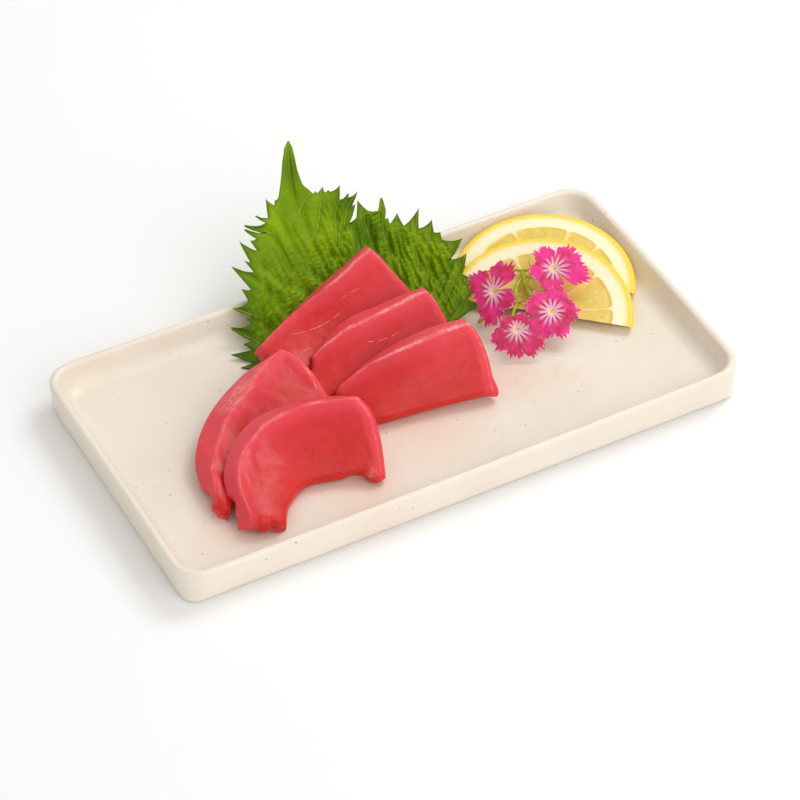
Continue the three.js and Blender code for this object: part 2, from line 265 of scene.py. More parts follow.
class Path:
    """A smooth curve that is walked by its length, and runs on straight past its ends."""

    STEPS = 200
    NEAR = 0.01

    def __init__(self, route):
        self.points = walk(route, self.STEPS)
        self.walked = [0.0]
        for a, b in zip(self.points, self.points[1:]):
            self.walked.append(self.walked[-1] + (b - a).length)
        self.length = self.walked[-1]

    def at(self, station):
        distance = station * self.length
        if distance <= 0:
            return self.points[0] + self.heading(0) * distance
        if distance >= self.length:
            return self.points[-1] + self.heading(1) * (distance - self.length)
        k = next(i for i, walked in enumerate(self.walked) if walked >= distance)
        part = (distance - self.walked[k - 1]) / (self.walked[k] - self.walked[k - 1])
        return self.points[k - 1].lerp(self.points[k], part)

    def heading(self, along):
        k = min(max(int(along * self.STEPS), 0), self.STEPS - 1)
        return (self.points[k + 1] - self.points[k]).normalized()

    def heading_at(self, station):
        return (self.at(station + self.NEAR) - self.at(station - self.NEAR)).normalized()


def dress(piece, finish, slot, *nodes):
    """Gives a finished piece its material and its place in the frame."""
    piece.data.materials.clear()
    piece.data.materials.append(finish)
    select_only(piece)
    bpy.ops.object.shade_smooth()
    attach(piece, BODY)
    if nodes:
        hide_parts(*nodes)


def smooth_step(value, start, end):
    t = min(max((value - start) / (end - start), 0.0), 1.0)
    return t * t * (3 - 2 * t)


class Finish:
    """A procedural material, with short names for the nodes that build it, in millimetres."""

    NUMBERS = ("DISTANCE", "LENGTH", "DOT_PRODUCT")  # vector operations that give a number

    def __init__(self, name):
        self.material = bpy.data.materials.new(name)
        self.material.use_nodes = True
        self.tree = self.material.node_tree
        self.surface = self.tree.nodes["Principled BSDF"]
        position = self.node("TexCoord").outputs["Object"]
        self.place = self.vector("SCALE", position, scale=1 / MM)

    def put(self, value, socket):
        """Gives a socket a plain value, or a link to the socket that makes it."""
        if isinstance(value, bpy.types.NodeSocket):
            self.tree.links.new(value, socket)
        else:
            socket.default_value = value

    def node(self, kind, inputs=None, **settings):
        made = self.tree.nodes.new("ShaderNode" + kind)
        for key, value in settings.items():
            setattr(made, key, value)
        for key, value in (inputs or {}).items():
            self.put(value, made.inputs[key])
        return made

    def maths(self, operation, *values):
        return self.node("Math", dict(enumerate(values)), operation=operation).outputs[0]

    def plus(self, first, second):
        return self.maths("ADD", first, second)

    def minus(self, first, second):
        return self.maths("SUBTRACT", first, second)

    def times(self, first, second):
        return self.maths("MULTIPLY", first, second)

    def scaled(self, value, scale, start):
        """The value times `scale`, counted from `start`."""
        return self.maths("MULTIPLY_ADD", value, scale, start)

    def absolute(self, value):
        return self.maths("ABSOLUTE", value)

    def vector(self, operation, *values, scale=None):
        inputs = dict(enumerate(values))
        if scale is not None:
            inputs["Scale"] = scale
        made = self.node("VectorMath", inputs, operation=operation)
        return made.outputs["Value" if operation in self.NUMBERS else "Vector"]

    def fade(self, value, start, end):
        """0 at `start`, 1 at `end`, smooth between."""
        inputs = {"Value": value, "From Min": start, "From Max": end}
        return self.node("MapRange", inputs, interpolation_type="SMOOTHSTEP").outputs["Result"]

    def mix(self, part, under, over):
        """The colour `under` where `part` is 0 and `over` where it is 1."""
        colours = (c if isinstance(c, bpy.types.NodeSocket) else (*c, 1) for c in (under, over))
        inputs = dict(zip((0, 6, 7), (part, *colours)))
        return self.node("Mix", inputs, data_type="RGBA").outputs[2]

    def tinted(self, under, over, where, strength):
        """The colour `under`, with at most `strength` of `over` in it where `where` is 1."""
        return self.mix(self.times(where, strength), under, over)

    def noise(self, grain, detail, place=None, roughness=0.5):
        """Soft noise whose patches are about `grain` across."""
        inputs = {"Vector": place or self.place, "Scale": 1 / grain}
        inputs |= {"Detail": detail, "Roughness": roughness}
        return self.node("TexNoise", inputs).outputs["Fac"]

    def cells(self, grain, feature="F1", place=None):
        inputs = {"Vector": place or self.place, "Scale": 1 / grain}
        return self.node("TexVoronoi", inputs, feature=feature)

    def stretched(self, *scale, turn=(0, 0, 0), place=None):
        inputs = {"Vector": place or self.place, "Rotation": turn, "Scale": scale}
        return self.node("Mapping", inputs).outputs["Vector"]

    def near(self, point, reach):
        """1 at a point, 0 from `reach` away."""
        return self.fade(self.vector("DISTANCE", self.place, Vector(point)), reach, 0.0)

    def attribute(self, name):
        return self.node("Attribute", attribute_name=name).outputs["Fac"]

    def relief(self, *layers):
        """Bump from (height from 0 to 1, its depth) layers."""
        normal = None
        for height, depth in layers:
            inputs = {"Height": height, "Distance": depth * MM, "Strength": 1.0}
            if normal:
                inputs["Normal"] = normal
            normal = self.node("Bump", inputs).outputs["Normal"]
        self.put(normal, self.surface.inputs["Normal"])

    def set(self, **values):
        for key, value in values.items():
            name = key.replace("_", " ").title().replace("Ior", "IOR")
            self.put(value, self.surface.inputs[name])


# ---------- plate ----------

# Places round the fish where the glaze is tinted pink, with how far round them the tint spreads.
PINK_TINTED_PLACES = [
    ((-2, -26, 6.3), 26), ((-33, -46, 6.3), 24), ((38, -16, 6.3), 17), ((-84, -36, 6.3), 15),
]
SMEAR = ((56, -22.5, 6.3), 9)
# How far apart specks can lie, the share of those places that have one, and their size as a share
# of a large speck's.
LARGE_SPECKS = (2.7, 0.42, 1.0)
SMALL_SPECKS = (1.6, 0.3, 0.5)
PLATE_LEVELS = 3
WANDER_LENGTH = 13


def specks(finish, largest, spacing, chance, part):
    """1 on round specks of all sizes up to a part of the largest, and how dark each of them is."""
    cells = finish.cells(spacing)
    draw = finish.node("SeparateColor", {"Color": cells.outputs["Color"]}).outputs
    chosen = finish.fade(draw[0], chance, chance - 0.02)
    edge = finish.times(draw[1], largest * part / spacing)
    disc = finish.fade(cells.outputs["Distance"], edge, finish.times(edge, 0.45))
    speck = finish.times(disc, chosen)
    return speck, finish.times(speck, finish.scaled(draw[2], 0.5, 0.5))


def glaze_finish(settings):
    finish = Finish("speckled_cream_glaze")
    cloudy = finish.fade(finish.noise(34, 3), 0.35, 0.75)
    glaze = finish.tinted(settings.glaze, settings.warm_glaze, cloudy, 0.35)
    # The glaze is tinted pink round the fish and in a patchy smear.
    for tinted_place in PINK_TINTED_PLACES:
        glaze = finish.tinted(glaze, settings.pink_tint, finish.near(*tinted_place), 0.5)
    patchy = finish.fade(finish.noise(5, 3), 0.42, 0.6)
    smear = finish.times(finish.near(*SMEAR), patchy)
    glaze = finish.tinted(glaze, settings.pink_tint, smear, 0.6)
    pits, dark = specks(finish, settings.speck_size / MM, *LARGE_SPECKS)
    glaze = finish.mix(dark, glaze, settings.speck)
    _, dark = specks(finish, settings.speck_size / MM, *SMALL_SPECKS)
    glaze = finish.mix(dark, glaze, settings.speck)
    finish.set(base_color=glaze, roughness=0.4, coat_weight=0.25, coat_roughness=0.22)
    finish.relief((finish.noise(9, 2), 0.35), (finish.noise(1.1, 2), 0.03), (pits, 0.06))
    return finish.material


def build_plate(settings):
    plate = copy_of_node("plate", "stoneware_plate")
    subdivide(plate, PLATE_LEVELS)

    def wander(place, normal):
        walls = smooth_step(abs(normal.z), 0.75, 0.3)
        return normal * (walls * settings.wander / MM * noise.noise(place / WANDER_LENGTH))

    move_points(plate, wander)
    dress(plate, glaze_finish(settings), "glazed_stoneware", "plate")


# ---------- tuna ----------

# `foot` and `top` are the long edges of a slab, from the cut end on the right to the tail that lies
# down, and `crown` is how far its face swells between them. A shoulder runs along the top edge, as
# wide as the two values of `shoulder` at the cut end and at the tail, and `crest_highlight` is how
# strongly a painted highlight shows along the line where the shoulder starts. `recess_shade` are
# places where painted shade darkens the flesh and `highlight_streaks` places where painted highlights
# streak it, each with its reach. `pulls` are a place on the slab, how far it is drawn out there and
# how far that reaches. `creases` are three points that a fold of the face runs through, its half
# width and its depth. `lines` are three points that a line on the face runs through, its half width
# and its colour.
SLICES = {
    "tuna_slice_1": {
        "foot": [(26, 22, 10), (4, 19.6, 10), (-18, 18.6, 10.4), (-36, 15, 11.5)],
        "top": [(13.9, 44.8, 31.5), (-2, 43.7, 24.5), (-19, 41.8, 16.2), (-39, 32.2, 13.2)],
        "crown": 1.2,
        "shoulder": (1.6, 4.3),
        "crest_highlight": 0.9,
        "recess_shade": [((-18, 19, 12), 8)],
        "pulls": [
            ((-22, 17.5, 10.5), (0.5, -3.5, -2.2), 9), ((13.9, 44.8, 31.5), (1.2, 2.4, 1.2), 13),
        ],
        "lines": [
            ([(-26.9, 30.8, 17.3), (-14.8, 28.6, 17.6), (-4.3, 29.8, 20.1)], 0.16, "sinew_and_highlight"),
            ([(-24.0, 22.1, 15.5), (-22.4, 22.4, 15.4), (-20.8, 22.4, 15.3)], 0.13, "sinew_and_highlight"),
            ([(-3.8, 33.1, 21.9), (1.1, 33.5, 23.3), (3.5, 33.3, 23.8)], 0.12, "sinew_and_highlight"),
        ],
    },
    "tuna_slice_2": {
        "foot": [(26, -2, 8), (6, -1, 8), (-10, 2.4, 8), (-24.8, 5, 8)],
        "top": [(24.2, 20.6, 29.3), (8.2, 21.5, 25.6), (-9, 22.5, 22), (-23.5, 20, 14.5)],
        "crown": 0.5,
        "shoulder": (2.6, 4.4),
        "crest_highlight": 1.6,
        "recess_shade": [((-22, 11, 10), 9)],
        "pulls": [((-25, 7, 10), (-9, -4, -0.5), 12)],
        "lines": [([(-6.2, 12.9, 19.4), (0.6, 10.2, 19.6), (6.5, 9.7, 20.7)], 0.12, "sinew_and_highlight")],
    },
    "tuna_slice_3": {
        "foot": [(28.6, -22.5, 8), (4, -17.7, 8), (-12, -16, 8), (-21, -14, 8)],
        "top": [(29, -1.6, 30.3), (8, 0.6, 27), (-8, 4.2, 19.5), (-19, 4, 13.5)],
        "crown": 1.8,
        "shoulder": (2.4, 4.2),
        "crest_highlight": 1.6,
        "recess_shade": [((-21, -4, 12), 9), ((1, -16, 9), 8)],
        "pulls": [
            ((27.5, -20.5, 10), (1.0, -1.6, -0.4), 5), ((28.5, -15, 15), (-0.8, 0.4, 0), 3),
            ((-20, -1, 11.5), (-4.5, -1.5, -0.5), 9),
        ],
        "lines": [
            ([(-3.5, -11.9, 17.9), (4.3, -13.9, 18.5), (12.5, -13.8, 20.7)], 0.24, "seam"),
            ([(3.7, -17.7, 13.4), (13.2, -16.8, 17.3), (21.5, -13.7, 22.8)], 0.24, "seam"),
        ],
    },
    "tuna_slice_4": {
        "foot": [(-24.5, -3, 10), (-42, -12, 9), (-60, -17, 8), (-72, -24, 8), (-80.5, -33, 8)],
        "top": [
            (-30.4, 23.2, 22.1), (-47.7, 18.7, 19.7), (-65.7, 9.9, 15.5), (-79, -7, 14),
            (-82.5, -22, 11),
        ],
        "crown": 1.2,
        "shoulder": (1.2, 8.5),
        "crest_highlight": 0.35,
        "recess_shade": [((-62, -3, 14), 12), ((-38, 4, 18), 9), ((-76, -12, 12), 9)],
        "pulls": [((-80.5, -21, 9), (2.6, 0.9, 0), 4.5), ((-81.5, -27.5, 9), (-1.4, 0.6, 0), 4)],
        "creases": [([(-72.5, -4.5, 15.5), (-73.5, -13, 14), (-77, -22, 11.5)], 1.8, 0.6)],
        "lines": [([(-29.9, 10.4, 20.6), (-29.0, 6.1, 18.9), (-29.5, 0.9, 16.6)], 0.2, "sinew_and_highlight")],
        "highlight_streaks": [((-52.5, 12.5, 20.5), 7), ((-59, 9.5, 19), 8)],
    },
    "tuna_slice_5": {
        "foot": [(-23.5, -40.3, 8), (-38.3, -33.5, 8), (-50, -31, 8), (-59.5, -37, 8), (-65, -45.5, 8)],
        "top": [
            (-18.2, -15.4, 26), (-39.2, -7.1, 24.3), (-59, -6.7, 21.3), (-75, -20.5, 17.5),
            (-78.6, -41.5, 10.2),
        ],
        "crown": 1.8,
        "shoulder": (2.2, 4.6),
        "crest_highlight": 0.6,
        "recess_shade": [((-31, -27, 15), 13), ((-42, -27, 14), 9), ((-66, -37, 9), 11), ((-65, -23, 14), 9)],
        "pulls": [
            ((-65, -45.5, 8), (0, 0, -1.3), 6), ((-72, -44, 8), (0, 0, -1.3), 6),
            ((-28, -38.5, 9), (-0.6, -2.4, -0.6), 5), ((-34, -35.5, 8), (0.6, 1.6, 0), 5),
            ((-78.4, -30, 12), (1.6, -0.2, 0), 4), ((-77.5, -39, 9), (-1.2, 0.4, 0), 3.5),
        ],
        "creases": [([(-59.7, -13.5, 22.3), (-65.5, -19.8, 20.6), (-67.6, -31.2, 17.1)], 1.8, 0.26)],
        "lines": [],
        "highlight_streaks": [((-29, -38, 11), 3)],
    },
}
FACE_COLUMNS = 84  # from a slice's foot to its top edge
BACK_COLUMNS = 22
SLICE_ROWS = 150
SLAB_CORNER = 0.16  # 0 keeps the corners of a slab square, 1 makes it an ellipse
CUT_CORNER = 1.4  # how much rounder the upper corner of the cut end is than the others
END_ROUNDING = 1.7  # of the face along the cut end on the right
FACE_ROUNDING = 2.5  # of the face along its foot and its tail
BACK_ROUNDING = 2.0
BORDER_DROP = 1.5  # how far behind the middle of the slab its top edge lies
SHOULDER_CHANGE, SHOULDER_LENGTH = 0.18, 6  # share by which a shoulder's width wanders
BROAD_SWELLS, FINE_SWELLS = 13, 4.2  # lengths of the swells of the flesh
FINE_SHARE = 0.3  # of the fine swells beside the broad ones
BACK_SHARE = 0.3  # of the swells on the back beside those on the face
RIDGE_HEIGHT, RIDGE_WIDTH = 0.22, 0.7  # of the ridge where the shoulder starts
RIDGE_BEADS, BEAD_LENGTH = 0.16, 1.6  # how much its height changes along it
CREASE_STEPS = 24
CREASE_LIP, LIP_GAP = 0.4, 1.8  # height of the lips beside a crease and how far off it they stand
TAIL_RAGS, RAG_LENGTH = 1.2, 8  # how uneven the edge of the tail is
SETTLED = 0.25  # how far a slice sinks below its solid's foot
RAISED = 1.0  # how far it may reach over its solid's top


def circle_through(a, b, c):
    """Centre and radius of the circle through three points."""
    ab, ac = b - a, c - a
    across = ab.cross(ac)
    to_centre = (across.cross(ab) * ac.length_squared + ac.cross(across) * ab.length_squared) / (
        2 * across.length_squared
    )
    return a + to_centre, to_centre.length


def sinew_line(finish, points, half_width):
    """1 along the arc where the sphere through three points cuts the surface."""
    a, b, c = (Vector(point) for point in points)
    centre, radius = circle_through(a, b, c)
    off = finish.absolute(finish.minus(finish.vector("DISTANCE", finish.place, centre), radius))
    wobble = finish.times(finish.noise(4, 2), half_width)
    line = finish.fade(finish.plus(off, wobble), half_width * 1.7, half_width * 0.6)
    reach = (c - a).length / 2
    along = finish.vector("DISTANCE", finish.place, (a + c) / 2 * 0.6 + b * 0.4)
    return finish.times(line, finish.fade(along, reach * 1.15, reach * 0.7))


class Slab:
    """The middle surface of a slice, walked by its length and its height, each from -1 to 1."""

    NEAR = 0.02
    STEPS = 60

    def __init__(self, slice_):
        self.foot, self.top = ([Vector(point) for point in slice_[edge]] for edge in ("foot", "top"))
        walked = walk(self.foot, self.STEPS)
        self.length = sum((b - a).length for a, b in zip(walked, walked[1:]))
        self.height = (self.foot[0] - self.top[0]).length

    def flat(self, a, b):
        along = min(max((a + 1) / 2, 0), 1)
        return curve_point(self.foot, along).lerp(curve_point(self.top, along), (b + 1) / 2)

    def normal(self, a, b):
        inner = min(max(a, self.NEAR - 1), 1 - self.NEAR)
        along = self.flat(inner + self.NEAR, b) - self.flat(inner - self.NEAR, b)
        upward = self.flat(a, b + self.NEAR) - self.flat(a, b - self.NEAR)
        normal = along.cross(upward).normalized()
        return normal if normal.z > 0 else -normal


def crowded(part):
    """From -1 to 1 as `part` goes from 0 to 1, in steps that get small towards both ends."""
    return math.sin(math.pi / 2 * (2 * part - 1))


def rounded_drop(gap, rounding):
    """1 at an edge and 0 from `rounding` on, as a quarter circle falls."""
    short = max(0.0, 1 - gap / rounding)
    return 1 - math.sqrt(1 - short * short)


def beveled_drop(gap, width):
    """1 at an edge and 0 from `width` on, nearly straight, so that a ridge stands there."""
    return max(0.0, 1 - gap / width) ** 1.12


def pressed(point, normal, creases):
    """The point pressed in along each crease, and raised a little at both sides of it."""
    for route, width, depth in creases:
        gap = min((point - at).length for at in route) / width
        fold = math.exp(-gap * gap) - CREASE_LIP * math.exp(-((gap - LIP_GAP) ** 2))
        point = point - normal * (depth * fold)
    return point


def drawn_out(point, pulls):
    """The point moved by each pull that reaches it."""
    for centre, shift, reach in pulls:
        gone = (point - Vector(centre)).length / reach
        if gone < 1:
            point = point + Vector(shift) * (1 - gone * gone) ** 2
    return point


def build_slice(settings, index, node):
    slice_ = SLICES[node]
    slab = Slab(slice_)
    lowest, highest = (corner.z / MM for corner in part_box(node))
    half = settings.thickness / MM / 2
    drift = Vector((17.3, 5.1, 9.7)) * index
    creases = [(walk(route, CREASE_STEPS), *shape) for route, *shape in slice_.get("creases", [])]
    ridges, cuts = [], []

    # `s` runs from the cut end to the tail and `t` from the foot to the top, each from -1 to 1. `a`
    # and `b` are the same place on the slab once its corners are rounded.
    def place(column, row):
        on_face = column <= FACE_COLUMNS
        part = column / FACE_COLUMNS if on_face else 1 - (column - FACE_COLUMNS) / BACK_COLUMNS
        s, t = crowded(row / SLICE_ROWS), crowded(part)
        corner = SLAB_CORNER * (1 + CUT_CORNER * smooth_step(-s, 0.2, 1) * smooth_step(t, 0.2, 1))
        a = s * math.sqrt(1 - corner * t * t / 2)
        b = t * math.sqrt(1 - corner * s * s / 2)
        from_top, from_foot = (1 - t) / 2 * slab.height, (1 + t) / 2 * slab.height
        from_cut, from_tail = (1 + s) / 2 * slab.length, (1 - s) / 2 * slab.length
        at_cut, at_tail = slice_["shoulder"]
        shoulder = at_cut + (at_tail - at_cut) * smooth_step(s, -1, 0.1)
        change = noise.noise(Vector((from_cut / SHOULDER_LENGTH, index * 3.3, 0)))
        shoulder *= 1 + SHOULDER_CHANGE * change
        border = -BORDER_DROP * smooth_step(t, -0.3, 0.7)
        normal = slab.normal(a, b)
        point = slab.flat(a, b)
        broad = noise.noise(point / BROAD_SWELLS + drift)
        fine = noise.noise(point / FINE_SWELLS + drift)
        swell = settings.swell / MM * (broad + FINE_SHARE * fine)
        if on_face:
            drop = max(
                beveled_drop(from_top, shoulder),
                rounded_drop(from_cut, END_ROUNDING),
                rounded_drop(from_foot, FACE_ROUNDING),
                rounded_drop(from_tail, FACE_ROUNDING),
            )
            ridge = from_top - shoulder
            beads = noise.noise(Vector((from_cut / BEAD_LENGTH, index, 0)) + drift)
            rise = (RIDGE_HEIGHT + RIDGE_BEADS * beads) * math.exp(-((ridge / RIDGE_WIDTH) ** 2))
            offset = half - (half - border) * drop + swell + rise * (1 - drop)
        else:
            nearest = min(from_top, from_foot, from_cut, from_tail)
            ridge = -shoulder
            offset = (half + border) * rounded_drop(nearest, BACK_ROUNDING) - half + swell * BACK_SHARE
        ridges.append(ridge)
        cuts.append(from_cut)
        point += normal * (slice_["crown"] * (1 - t * t) + offset)
        if on_face:
            point = pressed(point, normal, creases)
        onward = (slab.flat(1, b) - slab.flat(0.97, b)).normalized()
        ragged = noise.noise(Vector((b * slab.height / RAG_LENGTH, 0, 0)) + drift)
        point += onward * (TAIL_RAGS * ragged * smooth_step(s, 0.55, 1.0))
        point = drawn_out(point, slice_["pulls"])
        point.z = min(max(point.z, lowest - SETTLED), highest + RAISED)
        return point

    piece = sheet(f"tuna_flesh_{index}", FACE_COLUMNS + BACK_COLUMNS, SLICE_ROWS, place)
    set_point_attribute(piece, "ridge", ridges)
    set_point_attribute(piece, "from_cut", cuts)
    edit_all(piece, merge_doubles, face_outwards)
    dress(piece, tuna_finish(settings, slice_, index, lowest, highest), "raw_tuna", node)


def tuna_finish(settings, slice_, index, lowest, highest):
    finish = Finish(f"tuna_flesh_{index}")
    height = finish.node("SeparateXYZ", {0: finish.place}).outputs["Z"]

    def level(part):
        return lowest + (highest - lowest) * part

    # Painted shade: the flesh darkens towards the foot of the slice, mixed with random patches of
    # deeper flesh.
    low_shade = finish.times(finish.fade(height, level(0.8), lowest), 0.75)
    deep_and_shade = finish.plus(low_shade, finish.scaled(finish.noise(9, 3), 0.7, -0.2))
    flesh = finish.mix(deep_and_shade, settings.flesh, settings.deep_and_shaded_flesh)
    # Painted shade in the recesses of each slice.
    for recess_shade in slice_["recess_shade"]:
        flesh = finish.tinted(flesh, settings.deep_and_shaded_flesh, finish.near(*recess_shade), 0.85)

    wander = finish.scaled(finish.noise(2.2, 3), 1.2, -0.6)
    ridge = finish.plus(finish.attribute("ridge"), wander)
    # Painted light: the flesh is paler and pinker along the shoulder and along the cut end, where light
    # catches the edges and glows through them.
    flesh = finish.tinted(flesh, settings.lit_rim_flesh, finish.fade(ridge, 8.0, 0.0), 0.65)
    from_cut = finish.attribute("from_cut")
    lit_cut_band = finish.fade(finish.plus(from_cut, wander), 3.4, 2.2)
    flesh = finish.tinted(flesh, settings.lit_rim_flesh, lit_cut_band, 0.5)

    rough = finish.fade(finish.noise(1.1, 4, roughness=0.65), 0.4, 0.66)
    long_patches = finish.scaled(finish.fade(finish.noise(8, 2), 0.36, 0.6), 0.75, 0.25)
    # Painted highlight: a pale broken line along the ridge where the shoulder starts, stronger higher
    # up the slice.
    crest_highlight = finish.fade(finish.absolute(ridge), 1.2, 0.1)
    crest_highlight = finish.times(finish.times(crest_highlight, finish.scaled(rough, 0.6, 0.4)), long_patches)
    high_up = finish.fade(height, level(0.35), level(0.8))
    crest_highlight_strength = finish.scaled(high_up, 0.5 * slice_["crest_highlight"], 0.06)
    flesh = finish.tinted(flesh, settings.sinew_and_highlight, crest_highlight, crest_highlight_strength)
    # Painted highlight: a faint pale line along the cut end.
    cut_highlight = finish.fade(finish.absolute(finish.minus(from_cut, 1.1)), 0.35, 0.1)
    cut_highlight = finish.times(finish.times(cut_highlight, rough), long_patches)
    flesh = finish.tinted(flesh, settings.sinew_and_highlight, cut_highlight, 0.3)

    # Painted highlights: pale streaked patches on the shoulder and small wet glints.
    for highlight_streaks in slice_.get("highlight_streaks", []):
        streaks = finish.noise(1.0, 3, place=finish.stretched(0.35, 1.3, 1, turn=(0, 0, 0.6)))
        streaked = finish.times(finish.near(*highlight_streaks), finish.fade(streaks, 0.3, 0.75))
        flesh = finish.tinted(flesh, settings.sinew_and_highlight, streaked, 0.6)
    grain = finish.noise(0.55, 3, place=finish.stretched(0.12, 1.0, 1.0, turn=(0.35, 0.2, 0.5)))
    flesh = finish.tinted(flesh, settings.sinew_and_highlight, finish.fade(grain, 0.5, 0.72), 0.03)
    broken = finish.fade(finish.noise(1.4, 2), 0.36, 0.55)
    for points, half_width, kind in slice_["lines"]:
        line = finish.times(sinew_line(finish, points, half_width), broken)
        flesh = finish.tinted(flesh, getattr(settings, kind), line, 0.6)

    moist = finish.fade(finish.noise(7, 3), 0.3, 0.7)
    finish.set(
        base_color=flesh,
        roughness=finish.scaled(moist, 0.14, 0.3),
        subsurface_weight=0.6,
        subsurface_radius=(4.2, 1.0, 0.8),
        subsurface_scale=MM,
        specular_ior_level=0.3,
    )
    finish.relief((finish.noise(4.5, 2), 0.3), (grain, settings.grain / MM))
    return finish.material


# ---------- shiso leaves ----------

